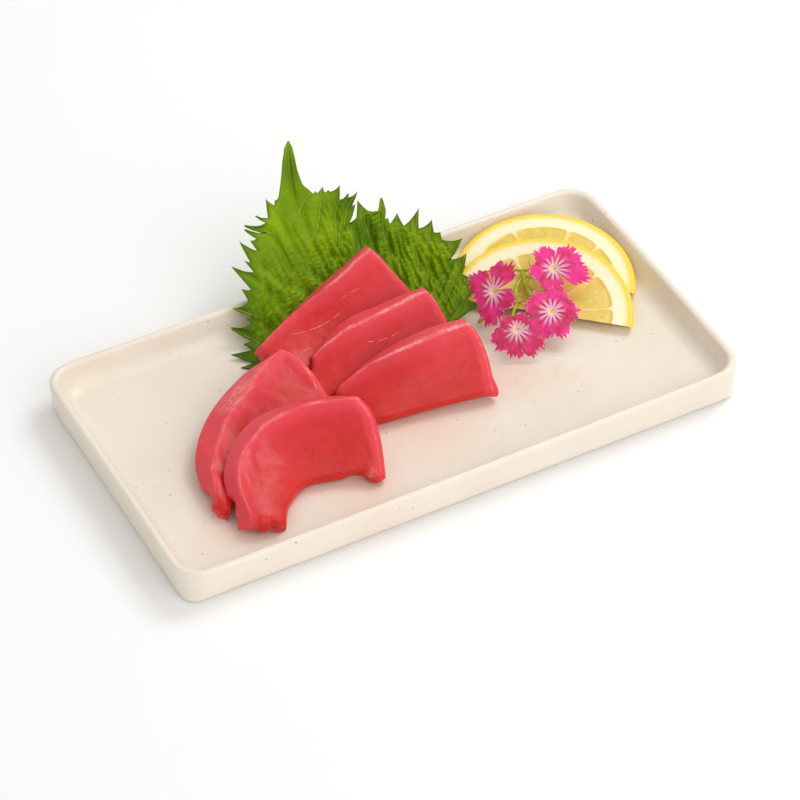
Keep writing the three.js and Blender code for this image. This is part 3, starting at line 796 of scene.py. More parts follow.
# `rib` runs from the stalk to the tip. A place on the blade is its station, a share of the rib's
# length, and its reach, how far out from the rib it lies. The blade is wrinkled up to the first
# station of `smooth_from` and smooth from the second on, and `shade` are places where it is dark,
# with their reach. A half rises by `slope` for each millimetre out. Each of the `teeth`, from the
# stalk on, is the station and reach of its tip and of the notch after it, and `point` is the margin
# from the last notch to the tip. `veins` are curves of stations and reaches, with the left half's
# reaches below zero.
LEAVES = {
    "shiso_leaf_1": {
        "smooth_from": (0.45, 0.8),
        "shade": [((-38, 38, 12), 13), ((3, 82, 43), 12), ((16.5, 67.5, 33), 9)],
        "rib": [
            (-6, 16, 7.6), (-3, 30, 7.7), (0, 41, 11.2), (1.3, 50.4, 19.5), (0.3, 71.3, 35),
            (5.4, 89.6, 49),
        ],
        "left": {
            "slope": -0.04,
            "teeth": [
                (0.02, 18, 0.01, 15), (0.07, 30, 0.05, 26), (0.13, 37, 0.11, 31),
                (0.202, 40.5, 0.2, 35.5),
                (0.273, 43, 0.257, 35), (0.295, 37.6, 0.295, 34.2), (0.377, 41, 0.362, 32.9),
                (0.386, 34.4, 0.387, 31.8), (0.445, 38.2, 0.447, 31.8), (0.503, 32.3, 0.487, 29.2),
                (0.601, 31.9, 0.548, 25.5), (0.604, 26.7, 0.59, 25), (0.682, 25.4, 0.622, 20.8),
                (0.67, 21.6, 0.67, 19.2), (0.721, 22.3, 0.68, 15.2), (0.736, 21.9, 0.716, 13.8),
                (0.756, 16.9, 0.73, 12.5), (0.806, 11.6, 0.769, 9.0), (0.788, 8.4, 0.789, 7.3),
            ],
            "point": [(0.8, 6.6), (0.857, 4.8), (0.928, 3.3), (0.98, 1.8), (1, 0.35)],
        },
        "right": {
            "slope": 0.05,
            "teeth": [
                (0.06, 9, 0.06, 7), (0.16, 11, 0.17, 9), (0.26, 12.5, 0.28, 10.5),
                (0.38, 14, 0.4, 11.6),
                (0.493, 14.5, 0.5, 12.8), (0.584, 15.4, 0.59, 13.8), (0.659, 19.6, 0.654, 17.4),
                (0.701, 22.1, 0.692, 17.9), (0.705, 18.8, 0.696, 14.8), (0.752, 16.6, 0.74, 12.3),
                (0.75, 11.8, 0.745, 10.3), (0.771, 10, 0.754, 7.5), (0.765, 7, 0.758, 6.1),
            ],
            "point": [(0.784, 4.6), (0.808, 3), (0.871, 1.9), (0.923, 1.6), (0.972, 1.2), (1, 0.35)],
        },
        "veins": [
            [
                (0, 0), (0.2, -0.3), (0.454, -0.5), (0.65, -0.5), (0.733, -0.7), (0.87, -1.1),
                (0.99, -0.1),
            ],
            [
                (0.38, -0.5), (0.43, -4), (0.482, -6.3), (0.554, -7.5), (0.683, -8.1),
                (0.739, -8.9), (0.8, -11.3),
            ],
            [
                (0.2, -0.3), (0.32, -7), (0.409, -10.1), (0.49, -11.7), (0.611, -12.4),
                (0.686, -14), (0.735, -21.5),
            ],
            [(0.38, -9.5), (0.43, -12.4), (0.464, -17.7), (0.524, -20.4), (0.6, -23), (0.68, -25)],
            [(0.1, -0.3), (0.25, -12), (0.367, -20.7), (0.444, -22.7), (0.5, -24.5), (0.6, -31.5)],
            [(0.08, -2), (0.22, -18), (0.32, -27), (0.4, -33), (0.445, -38)],
            [(0.05, -3), (0.17, -20), (0.27, -31), (0.377, -40.7)],
            [(0.03, -4), (0.12, -20), (0.2, -32), (0.273, -42.6)],
            [(0.02, -5), (0.08, -20), (0.14, -31), (0.202, -40)],
            [
                (0.44, -0.5), (0.499, 3.1), (0.523, 5.8), (0.57, 8.3), (0.643, 11.1), (0.713, 15.4),
                (0.75, 16.4),
            ],
            [(0.71, -0.6), (0.749, 3), (0.765, 6.8)],
            [(0.59, -0.5), (0.612, 2.2), (0.68, 6.5), (0.765, 9.6)],
            [(0.35, -0.4), (0.45, 4.5), (0.55, 10), (0.66, 17), (0.7, 21.8)],
            [(0.22, -0.3), (0.38, 8), (0.5, 14)],
            [(0.1, -0.3), (0.26, 8), (0.38, 13.7)],
        ],
    },
    "shiso_leaf_2": {
        "smooth_from": (0.8, 1.4),
        "shade": [((17, 60, 27), 11), ((22, 58, 25), 8)],
        "rib": [(22, 15, 7.3), (23, 31, 8.1), (24, 41.5, 11.2), (24.3, 52.6, 19.4), (30, 66, 30.4)],
        "left": {
            "slope": -0.12,
            "teeth": [
                (0.08, 9, 0.08, 7), (0.2, 12, 0.21, 9.6), (0.34, 14, 0.35, 11), (0.5, 16, 0.5, 12.6),
                (0.66, 17, 0.66, 13), (0.82, 17, 0.8, 12.6), (0.94, 13.6, 0.95, 10),
                (1.05, 9.2, 0.945, 4.6),
            ],
            "point": [(0.924, 1.5), (1, 0.35)],
        },
        "right": {
            "slope": 0.28,
            "teeth": [
                (0.029, 20.1, 0.117, 18.3), (0.203, 25.3, 0.295, 21.5), (0.404, 25.9, 0.427, 19.6),
                (0.502, 26.8, 0.554, 20.1), (0.602, 20.6, 0.62, 18.5), (0.695, 19.1, 0.688, 13.7),
                (0.807, 14.8, 0.754, 8.4), (0.854, 6.1, 0.813, 3.1), (0.856, 2.4, 0.86, 1.4),
            ],
            "point": [(0.911, 1.7), (0.98, 0.8), (1, 0.35)],
        },
        "veins": [
            [(0, 0.4), (0.3, 1.4), (0.564, 2), (0.681, 2), (0.746, 0.8), (0.99, 0)],
            [(0.28, 1.4), (0.465, 8.2), (0.601, 11), (0.8, 14.4)],
            [(0.2, 1), (0.38, 9.5), (0.55, 14.8), (0.69, 18.8)],
            [(0.14, 1), (0.27, 11), (0.4, 19.5), (0.5, 26.3)],
            [(0.08, 1), (0.2, 12), (0.32, 20), (0.4, 25.5)],
            [(0.04, 1), (0.12, 13), (0.2, 25)],
            [(0.5, 2), (0.66, 5), (0.78, 5.6), (0.85, 6)],
            [(0.5, 1.6), (0.65, -2), (0.8, -5), (0.95, -7.2), (1.09, -8.7)],
            [(0.35, 1.4), (0.5, -4), (0.68, -9), (0.81, -16.4)],
            [(0.2, 1.2), (0.36, -7), (0.5, -15.5)],
        ],
    },
}
VEIN_LEAN = 0.0075  # share of the rib that a row runs forward for each millimetre out
ROOT_STEP = 0.004  # least distance between the roots of two rows that end in a tip or a notch
ROW_STEP = 0.0065  # share of the rib between two rows
SAME_ROW = 0.0008  # roots nearer than this share a row
BLADE_COLUMNS = 62  # on each half, from the rib to the foot of the teeth
TOOTH_COLUMNS = 14
NOTCH_SHARE, EDGE_SHARE = 0.9, 0.93  # how far out to the notches and the margin the feet lie
TOOTH_HOOK = 0.11  # how far a tooth's sides curve back, as a share of its depth
VEIN_STEPS = 90
WRINKLE_LEAN = 0.004  # share of the rib that wrinkles reach further for each millimetre rightwards
CELL = (1.75, 3.3)  # of the net of small veins, away from the stalk and round it
RADIAN = 36  # how long a radian round the stalk counts, wherever it is
PILLOW_WIDTH = 1.7  # how far beside a vein the blade has risen
DOME_WIDTH = 0.3  # and beside a small vein
PILLOW_SHARE, NET_SHARE, FOLD_SHARE = 0.5, 0.4, 0.5  # of the blister height
FLAT_MARGIN, FULL_HEIGHT = 0.2, 4.5  # distances from the margin where blisters start and are whole


def in_order(values, step):
    """The nearest rising values that are at least a step apart."""
    blocks = []
    for k, value in enumerate(values):
        blocks.append((value - k * step, 1))
        while len(blocks) > 1 and blocks[-2][0] > blocks[-1][0]:
            (mean, count), (before, others) = blocks.pop(), blocks.pop()
            blocks.append(((before * others + mean * count) / (others + count), others + count))
    means = [mean for mean, count in blocks for _ in range(count)]
    last = len(means) - 1
    return [min(max(mean + k * step, k * step), 1 - (last - k) * step) for k, mean in enumerate(means)]


class Margin:
    """One half of a leaf's toothed outline, walked by where its rows leave the rib."""

    def __init__(self, half, length):
        self.length = length
        notches = [(0, 3)] + [tooth[2:] for tooth in half["teeth"]] + half["point"]
        roots = in_order([station - VEIN_LEAN * reach for station, reach in notches], 2 * ROOT_STEP)
        roots[0], roots[-1] = 0.0, 1.0
        self.knots, self.roots, self.feet = [notches[0]], [0.0], [0]
        for k, notch in enumerate(notches[1:], 1):
            if k <= len(half["teeth"]):
                self.knots.append(half["teeth"][k - 1][:2])
                self.roots.append((roots[k - 1] + roots[k]) / 2)
            self.feet.append(len(self.knots))
            self.knots.append(notch)
            self.roots.append(roots[k])

    def edge(self, root):
        """Station and reach of the margin."""
        k = min(bisect.bisect_right(self.roots, root), len(self.roots) - 1) - 1
        part = (root - self.roots[k]) / (self.roots[k + 1] - self.roots[k])
        (s0, r0), (s1, r1) = self.knots[k], self.knots[k + 1]
        hooked = TOOTH_HOOK * 4 * part * (1 - part) * abs(r1 - r0) / self.length
        return s0 + (s1 - s0) * part - hooked, r0 + (r1 - r0) * part

    def foot(self, root):
        """Station and reach of the whole blade inside its teeth."""
        k = next(i for i in range(1, len(self.feet)) if root <= self.roots[self.feet[i]])
        a, b = self.feet[k - 1], self.feet[k]
        part = (root - self.roots[a]) / (self.roots[b] - self.roots[a])
        station, reach = (self.knots[a][i] * (1 - part) + self.knots[b][i] * part for i in range(2))
        inner = min(NOTCH_SHARE * reach, EDGE_SHARE * self.edge(root)[1])
        return root + (station - root) * inner / max(reach, 0.1), inner


def leaf_rows(margins):
    """Roots of all rows: every point of both margins, and enough between them."""
    rows = [0.0]
    for root in sorted({root for margin in margins for root in margin.roots}):
        start = rows[-1]
        if root - start < SAME_ROW:
            continue
        steps = math.ceil((root - start) / ROW_STEP)
        rows.extend(start + (root - start) * k / steps for k in range(1, steps + 1))
    return rows


class Veins:
    """The veins of a leaf, as points that are found by how near they lie."""

    def __init__(self, curves, length):
        routes = [[(station * length, reach, 0) for station, reach in curve] for curve in curves]
        points = [point for route in routes for point in walk(route, VEIN_STEPS)]
        self.tree = KDTree(len(points))
        for index, point in enumerate(points):
            self.tree.insert(point, index)
        self.tree.balance()

    def gap(self, x, y):
        return self.tree.find((x, y, 0))[2]


def blade_height(gap, x, y, seed, depth, wrinkled):
    """Height of the blade over its veins, and how far inside a cell of the small net a place lies.

    `depth` is 0 at the margin and 1 well inside, and `wrinkled` is 0 where the blade is smooth.
    """
    away, around = math.hypot(x, y), math.atan2(y, x) * RADIAN
    wander = Vector([noise.noise(Vector((x, y, layer)) / 5) for layer in (9, 19)] + [0]) * 0.5
    place = Vector((away / CELL[0], around / CELL[1], seed * 7.0)) + wander
    nearest, second = noise.voronoi(place)[0][:2]
    cell = second - nearest
    pillow = 1 - math.exp(-((gap / PILLOW_WIDTH) ** 1.4))
    dome = 1 - math.exp(-cell / DOME_WIDTH)
    folds = noise.noise(Vector((x / 7 + 0.6 * y / 7, y / 1.5, seed * 5.0)))
    net = dome * (0.35 + 0.65 * pillow) * (0.25 + 0.75 * wrinkled)
    height = PILLOW_SHARE * (pillow - 1) + NET_SHARE * net + FOLD_SHARE * wrinkled * folds
    return depth * height, cell


def build_leaf(settings, index, node):
    leaf = LEAVES[node]
    rib = Path(leaf["rib"])
    margins = {side: Margin(leaf[side], rib.length) for side in ("left", "right")}
    veins = Veins(leaf["veins"], rib.length)
    rows = leaf_rows(margins.values())
    columns = BLADE_COLUMNS + TOOTH_COLUMNS
    lowest = BED_HEIGHT + settings.thickness / MM / 2
    gaps, cells = [], []

    def place(column, row):
        side, away = ("left", -1) if column < columns else ("right", 1)
        steps, root = abs(column - columns), rows[row]
        foot_station, foot_reach = margins[side].foot(root)
        edge_station, edge_reach = margins[side].edge(root)
        if steps <= BLADE_COLUMNS:
            reach = foot_reach * steps / BLADE_COLUMNS
            station = root + (foot_station - root) * steps / BLADE_COLUMNS
        else:
            part = (steps - BLADE_COLUMNS) / TOOTH_COLUMNS
            station = foot_station + (edge_station - foot_station) * part
            reach = foot_reach + (edge_reach - foot_reach) * part
        x, y = station * rib.length, away * reach
        gap = veins.gap(x, y)
        depth = smooth_step(edge_reach - reach, FLAT_MARGIN, FULL_HEIGHT)
        wrinkled = 1 - smooth_step(station - WRINKLE_LEAN * away * reach, *leaf["smooth_from"])
        height, cell = blade_height(gap, x, y, index, depth, wrinkled)
        gaps.append(gap)
        cells.append(cell + 0.3 * (1 - wrinkled))
        outward = Vector((away, 0, leaf[side]["slope"]))
        upward = outward.cross(rib.heading_at(station)).normalized() * away
        point = rib.at(station) + outward * reach + upward * (height * settings.blister / MM)
        point.z = max(point.z, lowest)
        return point

    piece = sheet(f"shiso_blade_{index}", 2 * columns, len(rows) - 1, place)
    set_point_attribute(piece, "vein_gap", gaps)
    set_point_attribute(piece, "cell_gap", cells)
    piece.vertex_groups.new(name="underside")
    apply_modifier(
        piece, "SOLIDIFY", thickness=settings.thickness, offset=-1, shell_vertex_group="underside"
    )
    dress(piece, leaf_finish(settings, index, leaf["shade"]), "shiso_leaf", node)


def leaf_finish(settings, index, shade):
    finish = Finish(f"shiso_green_{index}")
    patches = finish.fade(finish.noise(13, 3), 0.32, 0.68)
    blade = finish.mix(patches, settings.blade, settings.young_blade)
    # Painted shade in the creases of the small net of veins, less where the blade is smooth.
    crease_shade = finish.fade(finish.attribute("cell_gap"), 0.3, 0.02)
    blade = finish.tinted(blade, settings.margin_and_shade_green, crease_shade, 0.32)
    across = finish.node("SeparateXYZ", {0: finish.node("TexCoord").outputs["UV"]}).outputs["X"]
    outer = finish.fade(finish.absolute(finish.minus(across, 0.5)), 0.42, 0.5)
    blade = finish.tinted(blade, settings.margin_and_shade_green, outer, 0.7)
    for dark in shade:
        blade = finish.tinted(blade, settings.margin_and_shade_green, finish.near(*dark), 0.7)
    vein_gap = finish.attribute("vein_gap")
    # Painted shade in the valleys beside the veins.
    blade = finish.tinted(blade, settings.margin_and_shade_green, finish.fade(vein_gap, 0.9, 0.3), 0.25)
    blade = finish.tinted(blade, settings.vein, finish.fade(vein_gap, 0.34, 0.1), 0.55)
    blade = finish.tinted(blade, settings.vein, finish.attribute("underside"), 0.6)
    finish.set(base_color=blade, roughness=0.4, specular_ior_level=0.09)
    net = finish.cells(0.9, "DISTANCE_TO_EDGE").outputs["Distance"]
    finish.relief((finish.fade(net, 0.0, 0.3), 0.06), (finish.noise(0.45, 2), 0.02))
    return finish.material


# ---------- lemon ----------

# `centre` is the middle of the whole slice, on its underside, and `tilt` is how many degrees its
# round side is raised. `past` is how far past the middle it is cut. `membranes` are the angles of
# the walls between its segments, anticlockwise from the right end of the cut.
LEMON_SLICES = {
    "lemon_slice_1": {
        "centre": (61.4, 6.9, 6.6), "tilt": 12, "radius": 33.4, "past": 0.0,
        "membranes": (-21, 15, 50, 86, 122, 158, 200),
    },
    "lemon_slice_2": {
        "centre": (70.4, 19.6, 6.6), "tilt": 9, "radius": 33, "past": 1.8,
        "membranes": (-20, 17, 52, 81, 126, 161, 200),
    },
}
LEMON_TURN = -42  # degrees that the cut edge is turned from the plate's long side
FLAT_COLUMNS = 84  # from the middle to the rind
RIM_COLUMNS = 10
UNDER_COLUMNS = 14
LEMON_ROWS = 170
LEMON_START, LEMON_SWEEP = -0.03, 1.02 * math.pi  # a little over half a turn, trimmed by the cut
CUT_SLOPE = Vector((0, 1, 0.75))
CUT_MARGIN = 0.02
SMOOTH_ANGLE = math.radians(50)
MEMBRANE = 0.1  # half its width
CORE = 1.2  # radius of the middle, where there is no pulp
PULP_ROUNDING = 3.0  # of the corners of a segment
RIND_ROUNDING = 0.9
PULP_DEPTH, PULP_DOME = 0.3, 0.18  # how far pulp lies below the pith, and rises in a segment
SAC_HEIGHT, SAC_TURNS, SAC_LENGTH = 0.09, 9, 4.5
FACE_WAVES, WAVE_LENGTH = 0.07, 2.2
RIND_DIMPLES, DIMPLE_LENGTH = 0.12, 0.9
SACS_ROUND, SACS_OUT = 13, 0.28  # juice sacs in a radian, and in a millimetre outwards
OUT_OF_REACH = 60


def lemon_matrix(slice_):
    turned = Matrix.Rotation(math.radians(LEMON_TURN), 4, "Z")
    tilted = Matrix.Rotation(math.radians(slice_["tilt"]), 4, "X")
    return Matrix.Translation(Vector(slice_["centre"])) @ (turned @ tilted)


def smooth_least(a, b, rounding):
    h = max(rounding - abs(a - b), 0) / rounding
    return min(a, b) - h**3 * rounding / 6


def pulp_depth(settings, slice_, x, y):
    """How far inside a segment of pulp a place on the slice lies."""
    inside = settings.pulp_radius / MM - math.hypot(x, y)
    for angle in slice_["membranes"]:
        ray = Vector((math.cos(math.radians(angle)), math.sin(math.radians(angle))))
        if x * ray.x + y * ray.y > 0:
            off = abs(x * ray.y - y * ray.x) - MEMBRANE
            inside = smooth_least(inside, off, PULP_ROUNDING)
    return smooth_least(inside, math.hypot(x, y) - CORE, PULP_ROUNDING)


def build_lemon(settings, index, node):
    slice_ = LEMON_SLICES[node]
    thickness = settings.thickness / MM
    flat = slice_["radius"] - RIND_ROUNDING

    def place(column, row):
        turn = LEMON_START + LEMON_SWEEP * row / LEMON_ROWS
        on_rim, on_underside = column - FLAT_COLUMNS, column - FLAT_COLUMNS - RIM_COLUMNS
        if on_rim <= 0:
            r, z = flat * column / FLAT_COLUMNS, thickness
        elif on_underside <= 0:
            angle = math.pi * (0.5 - on_rim / RIM_COLUMNS)
            r = flat + RIND_ROUNDING * math.cos(angle)
            z = thickness / 2 * (1 + math.sin(angle))
            rind = Vector((r * math.cos(turn), r * math.sin(turn), z))
            r += RIND_DIMPLES * min(noise.noise(rind / DIMPLE_LENGTH + Vector((index, 0, 0))), 0)
        else:
            r, z = flat * (1 - on_underside / UNDER_COLUMNS), 0
        x, y = r * math.cos(turn), r * math.sin(turn)
        if on_rim <= 0:
            inside = pulp_depth(settings, slice_, x, y)
            sacs = noise.noise(Vector((turn * SAC_TURNS + index, r / SAC_LENGTH, 3.1)))
            height = SAC_HEIGHT * sacs - PULP_DEPTH + PULP_DOME * smooth_step(inside, 0.9, 6)
            z += smooth_step(inside, 0, 0.9) * height
            z += FACE_WAVES * noise.noise(Vector((x, y, index)) / WAVE_LENGTH)
        return x, y, z

    piece = sheet(f"lemon_cut_{index}", FLAT_COLUMNS + RIM_COLUMNS + UNDER_COLUMNS, LEMON_ROWS, place)
    cut = Vector((0, slice_["past"] + CUT_MARGIN, thickness)) * MM
    edit_all(
        piece,
        merge_doubles,
        lambda: bpy.ops.mesh.bisect(plane_co=cut, plane_no=CUT_SLOPE, use_fill=True, clear_inner=True),
        lambda: bpy.ops.mesh.select_all(action="SELECT"),
        face_outwards,
    )
    matrix = lemon_matrix(slice_)
    for vertex in piece.data.vertices:
        vertex.co = (matrix @ (vertex.co / MM)) * MM
    dress(piece, lemon_finish(settings, index, slice_), "lemon", node)
    bpy.ops.object.shade_smooth_by_angle(angle=SMOOTH_ANGLE)


def lemon_finish(settings, index, slice_):
    finish = Finish(f"lemon_flesh_{index}")
    matrix = lemon_matrix(slice_)
    local = finish.vector("SUBTRACT", finish.place, matrix.translation)
    x, y = (finish.vector("DOT_PRODUCT", local, matrix.col[k].to_3d()) for k in range(2))
    flat = finish.node("CombineXYZ", {0: x, 1: y}).outputs[0]
    radius = finish.vector("LENGTH", flat)

    pulp_radius = settings.pulp_radius / MM
    inside = finish.minus(pulp_radius, radius)
    for angle in slice_["membranes"]:
        c, s = math.cos(math.radians(angle)), math.sin(math.radians(angle))
        ahead = finish.vector("DOT_PRODUCT", flat, Vector((c, s, 0)))
        off = finish.absolute(finish.vector("DOT_PRODUCT", flat, Vector((s, -c, 0))))
        behind = finish.times(finish.maths("LESS_THAN", ahead, 0.0), OUT_OF_REACH)
        gap = finish.plus(finish.minus(off, MEMBRANE), behind)
        inside = finish.maths("SMOOTH_MIN", inside, gap, PULP_ROUNDING)
    inside = finish.maths("SMOOTH_MIN", inside, finish.minus(radius, CORE), PULP_ROUNDING)

    around = finish.times(finish.maths("ARCTAN2", y, x), SACS_ROUND)
    polar = finish.node("CombineXYZ", {0: around, 1: finish.times(radius, SACS_OUT)}).outputs[0]
    sacs = finish.cells(1.0, place=polar).outputs["Distance"]
    pulp = finish.tinted(settings.pulp, settings.pith, finish.fade(sacs, 0.1, 0.75), 0.1)
    pulp = finish.tinted(pulp, settings.rind, finish.fade(inside, 3.0, 0.0), 0.25)
    ragged = finish.scaled(finish.noise(1.6, 3), 0.5, -0.25)
    in_pulp = finish.fade(finish.plus(inside, ragged), -0.15, 0.45)
    deep_in = finish.fade(radius, pulp_radius - 0.6, pulp_radius - 3.0)
    membrane = finish.tinted(settings.pith, settings.pulp, deep_in, 0.55)
    flesh = finish.mix(in_pulp, membrane, pulp)
    outermost = slice_["radius"] - settings.rind_width / MM
    rind_edge = finish.plus(radius, finish.scaled(finish.noise(1.2, 2), 0.9, -0.45))
    in_rind = finish.fade(rind_edge, outermost - 2.0, outermost + 0.9)
    flesh = finish.mix(in_rind, flesh, settings.rind)
    finish.set(
        base_color=flesh,
        roughness=finish.scaled(in_pulp, -0.22, 0.5),
        subsurface_weight=0.4,
        subsurface_radius=(2.4, 1.8, 0.8),
        subsurface_scale=MM,
        coat_weight=0.08,
        coat_roughness=0.15,
    )
    pores = finish.times(finish.fade(finish.cells(0.9).outputs["Distance"], 0.0, 0.35), in_rind)
    bulges = finish.times(finish.fade(sacs, 0.7, 0.0), in_pulp)
    finish.relief((bulges, 0.05), (pores, 0.12), (finish.noise(0.7, 2), 0.04))
    return finish.material


# ---------- flowers ----------

# `faces` is the way a flower faces. `petals` are the angle of each petal, anticlockwise from the
# flower's right, and its length as a share of the radius. `deep_and_shade` is how much of its petals
# are a deeper red, as painted shade on heads turned from the light.
FLOWERS = {
    "flower_1": {
        "centre": (71.2, 14, 19.8),
        "faces": (-0.25, -0.45, 0.85),
        "deep_and_shade": 0.3,
        "petals": [(127, 0.84), (195, 0.82), (262, 0.88), (42, 1.05), (350, 1.22)],
    },
    "flower_2": {
        "centre": (46.6, 13.4, 20),
        "faces": (-0.65, -0.35, 0.67),
        "deep_and_shade": 0.6,
        "petals": [(146, 1.02), (206, 0.74), (62, 1.12), (325, 0.92), (264, 1.16)],
    },
    "flower_3": {
        "centre": (45.7, -4.4, 17),
        "faces": (-0.25, -0.75, 0.45),
        "deep_and_shade": 1.0,
        "petals": [(65, 0.6), (147, 0.64), (216, 0.95), (315, 1.08), (266, 0.98)],
    },
    "flower_4": {
        "centre": (61, -2.2, 17),
        "faces": (-0.3, -0.6, 0.74),
        "deep_and_shade": 0.55,
        "petals": [(70, 0.86), (158, 0.95), (2, 0.92), (240, 1.1), (290, 0.95)],
    },
}
PETAL_TEETH = 9
TOOTH_STEPS = 4
PETAL_COLUMNS = PETAL_TEETH * TOOTH_STEPS
PETAL_ROWS = 16
PETAL_SPREAD = math.radians(41)  # half the angle that a petal spans
RIGHT = Vector((0.88, -0.475, 0))  # the way that the angles of petals are counted from
PETAL_TILT = 1.3  # the most that a petal's end leans up or down
TOOTH_DEPTH = 0.14
TOOTH_CHANGE = 0.22  # the most that a tooth or a notch is longer or shorter than the others
SIDE_DROP, DROP_POWER = 0.34, 2.6  # how much shorter a petal is at its sides
PETAL_RIPPLE = 0.5
PETAL_FOLD = 0.35
PETAL_STACK = 0.06  # how far each petal lies over the one before
RAY_TURN = 1.5 * math.pi  # puts three pale rays on a petal, with crimson streaks between them


def head_matrix(head):
    faces = Vector(head["faces"]).normalized()
    across = (RIGHT - faces * RIGHT.dot(faces)).normalized()
    axes = Matrix((across, faces.cross(across), faces)).transposed()
    return Matrix.Translation(Vector(head["centre"])) @ axes.to_4x4()


def petal_edge(seed, column):
    """Share of the flower's radius that a petal reaches at a column of its fringe."""
    tooth, step = divmod(column, TOOTH_STEPS)
    middle = TOOTH_STEPS // 2

    def draw(k, row):
        return noise.noise(Vector((k * 1.7 + seed * 3.1, seed * 0.7, row * 5.5)))

    tip = 1.0 + TOOTH_CHANGE * draw(tooth, 0)
    notch = 1.0 - TOOTH_DEPTH + TOOTH_CHANGE * draw(tooth if step < middle else tooth + 1, 1)
    towards_notch = abs(step - middle) / middle
    across = column / PETAL_COLUMNS * 2 - 1
    rounded = 1 - SIDE_DROP * abs(across + 0.25 * draw(0, 2)) ** DROP_POWER
    return (tip + (notch - tip) * towards_notch) * rounded


def build_flower(settings, index, node):
    matrix = head_matrix(FLOWERS[node])
    radius = settings.radius / MM
    petals = []
    for petal, (turn, longer) in enumerate(FLOWERS[node]["petals"]):
        seed = index * 10 + petal
        tilt = PETAL_TILT * noise.noise(Vector((seed * 2.3, 1.5, 0)))

        def place(column, row):
            across = column / PETAL_COLUMNS * 2 - 1
            along = row / PETAL_ROWS
            fringe = petal_edge(seed, column)
            stretch = 1 + (longer - 1) * smooth_step(along, 0.1, 0.6)
            reach = radius * along * stretch * (1 + (fringe - 1) * smooth_step(along, 0.68, 1.0))
            narrow = (1 - 0.12 * smooth_step(along, 0.45, 1.0)) / max(longer, 0.95)
            angle = math.radians(turn) + across * PETAL_SPREAD * narrow
            # A shallow cup that levels off outwards, with a hollow throat in the middle.
            throat = 1.2 * (1 - smooth_step(along, 0.0, 0.14))
            cup = 1.6 * along - 1.2 * along * along + 0.25 - throat
            ripple = PETAL_RIPPLE * along * noise.noise(Vector((across * 2 + seed, along * 2, 4)))
            fold = PETAL_STACK * petal * (0.4 + 0.6 * along) - PETAL_FOLD * along * abs(across) ** 1.5
            z = cup + ripple + fold + tilt * along * along
            return matrix @ Vector((reach * math.cos(angle), reach * math.sin(angle), z))

        petals.append(sheet(f"petal_{seed}", PETAL_COLUMNS, PETAL_ROWS, place))
    piece = join(f"flower_head_{index}", petals)
    subdivide(piece, 1)
    apply_modifier(piece, "SOLIDIFY", thickness=settings.thickness, offset=0)
    dress(piece, petal_finish(settings, index, FLOWERS[node]["deep_and_shade"]), "petal", node)


def petal_finish(settings, index, deep_and_shade):
    finish = Finish(f"petal_magenta_{index}")
    uv = finish.node("TexCoord").outputs["UV"]
    parts = finish.node("SeparateXYZ", {0: uv}).outputs
    fan = finish.times(finish.scaled(parts["X"], 2, -1), RAY_TURN)
    along = finish.plus(parts["Y"], finish.scaled(finish.noise(1.6, 2), 0.16, -0.08))

    # Random patches of deeper red; how much of them each head gets is painted shade, most on heads
    # turned from the light.
    deepening = finish.fade(finish.noise(3.4, 2), 0.66 - 0.42 * deep_and_shade, 0.82 - 0.3 * deep_and_shade)
    petal = finish.tinted(settings.petal, settings.deep_and_shaded_petal, deepening, 0.8)
    fingers = finish.absolute(finish.maths("COSINE", fan))
    ray_end = finish.scaled(fingers, 0.17, 0.38)
    ray = finish.fade(along, ray_end, finish.minus(ray_end, 0.32))
    petal = finish.tinted(petal, settings.ray, ray, 0.92)
    slit = finish.fade(finish.absolute(finish.maths("SINE", fan)), 0.74, 0.95)
    slit = finish.times(slit, finish.fade(along, 0.16, 0.24))
    slit = finish.times(slit, finish.fade(along, 0.5, 0.32))
    petal = finish.tinted(petal, settings.streak, slit, 0.9)
    petal = finish.mix(finish.fade(parts["Y"], 0.17, 0.1), petal, settings.throat)
    margin = finish.fade(parts["Y"], 0.91, 0.98)
    frayed = finish.times(margin, finish.fade(finish.noise(1.5, 2), 0.42, 0.6))
    petal = finish.tinted(petal, settings.ray, frayed, 0.85)
    finish.set(
        base_color=petal,
        roughness=0.55,
        sheen_weight=0.12,
        sheen_roughness=0.4,
        subsurface_weight=0.15,
        subsurface_radius=(1.0, 0.3, 0.6),
        subsurface_scale=MM,
    )
    finish.relief((finish.noise(0.35, 2, place=finish.stretched(26, 1.6, 1, place=uv)), 0.08))
    return finish.material


# ---------- sprig ----------

# Each is a route with the radius at its start and at its end.
STALKS = [
    ([(40.2, 13.3, 7.6), (45, 13.6, 10), (51, 12.4, 12.4), (57, 11, 13.1)], 0.85, 0.8),
    ([(60.6, 9.8, 13.3), (61.8, 17.7, 14.4), (63.6, 23.2, 14.8)], 1.15, 0.8),
    ([(55.1, 12.1, 12.8), (57.8, 17.2, 13.8), (62.4, 20.6, 14.6)], 0.85, 0.6),
    (
        [(58.6, 28.3, 13.8), (61.4, 25.9, 14.4), (64.2, 23.4, 14.8), (68, 21.6, 15), (72.6, 16.5, 15)],
        0.4, 0.7,
    ),
    ([(57.8, 17.2, 13.6), (54.5, 16.6, 13.4), (51.5, 15, 13.2)], 0.5, 0.6),
    ([(56, 12, 12.9), (50.5, 6.5, 13.4), (47.2, 0.2, 14.2)], 0.6, 0.7),
    ([(60.6, 10.3, 13.3), (61.8, 5.5, 12.7), (62.7, 1.2, 12.9)], 0.9, 0.8),
]
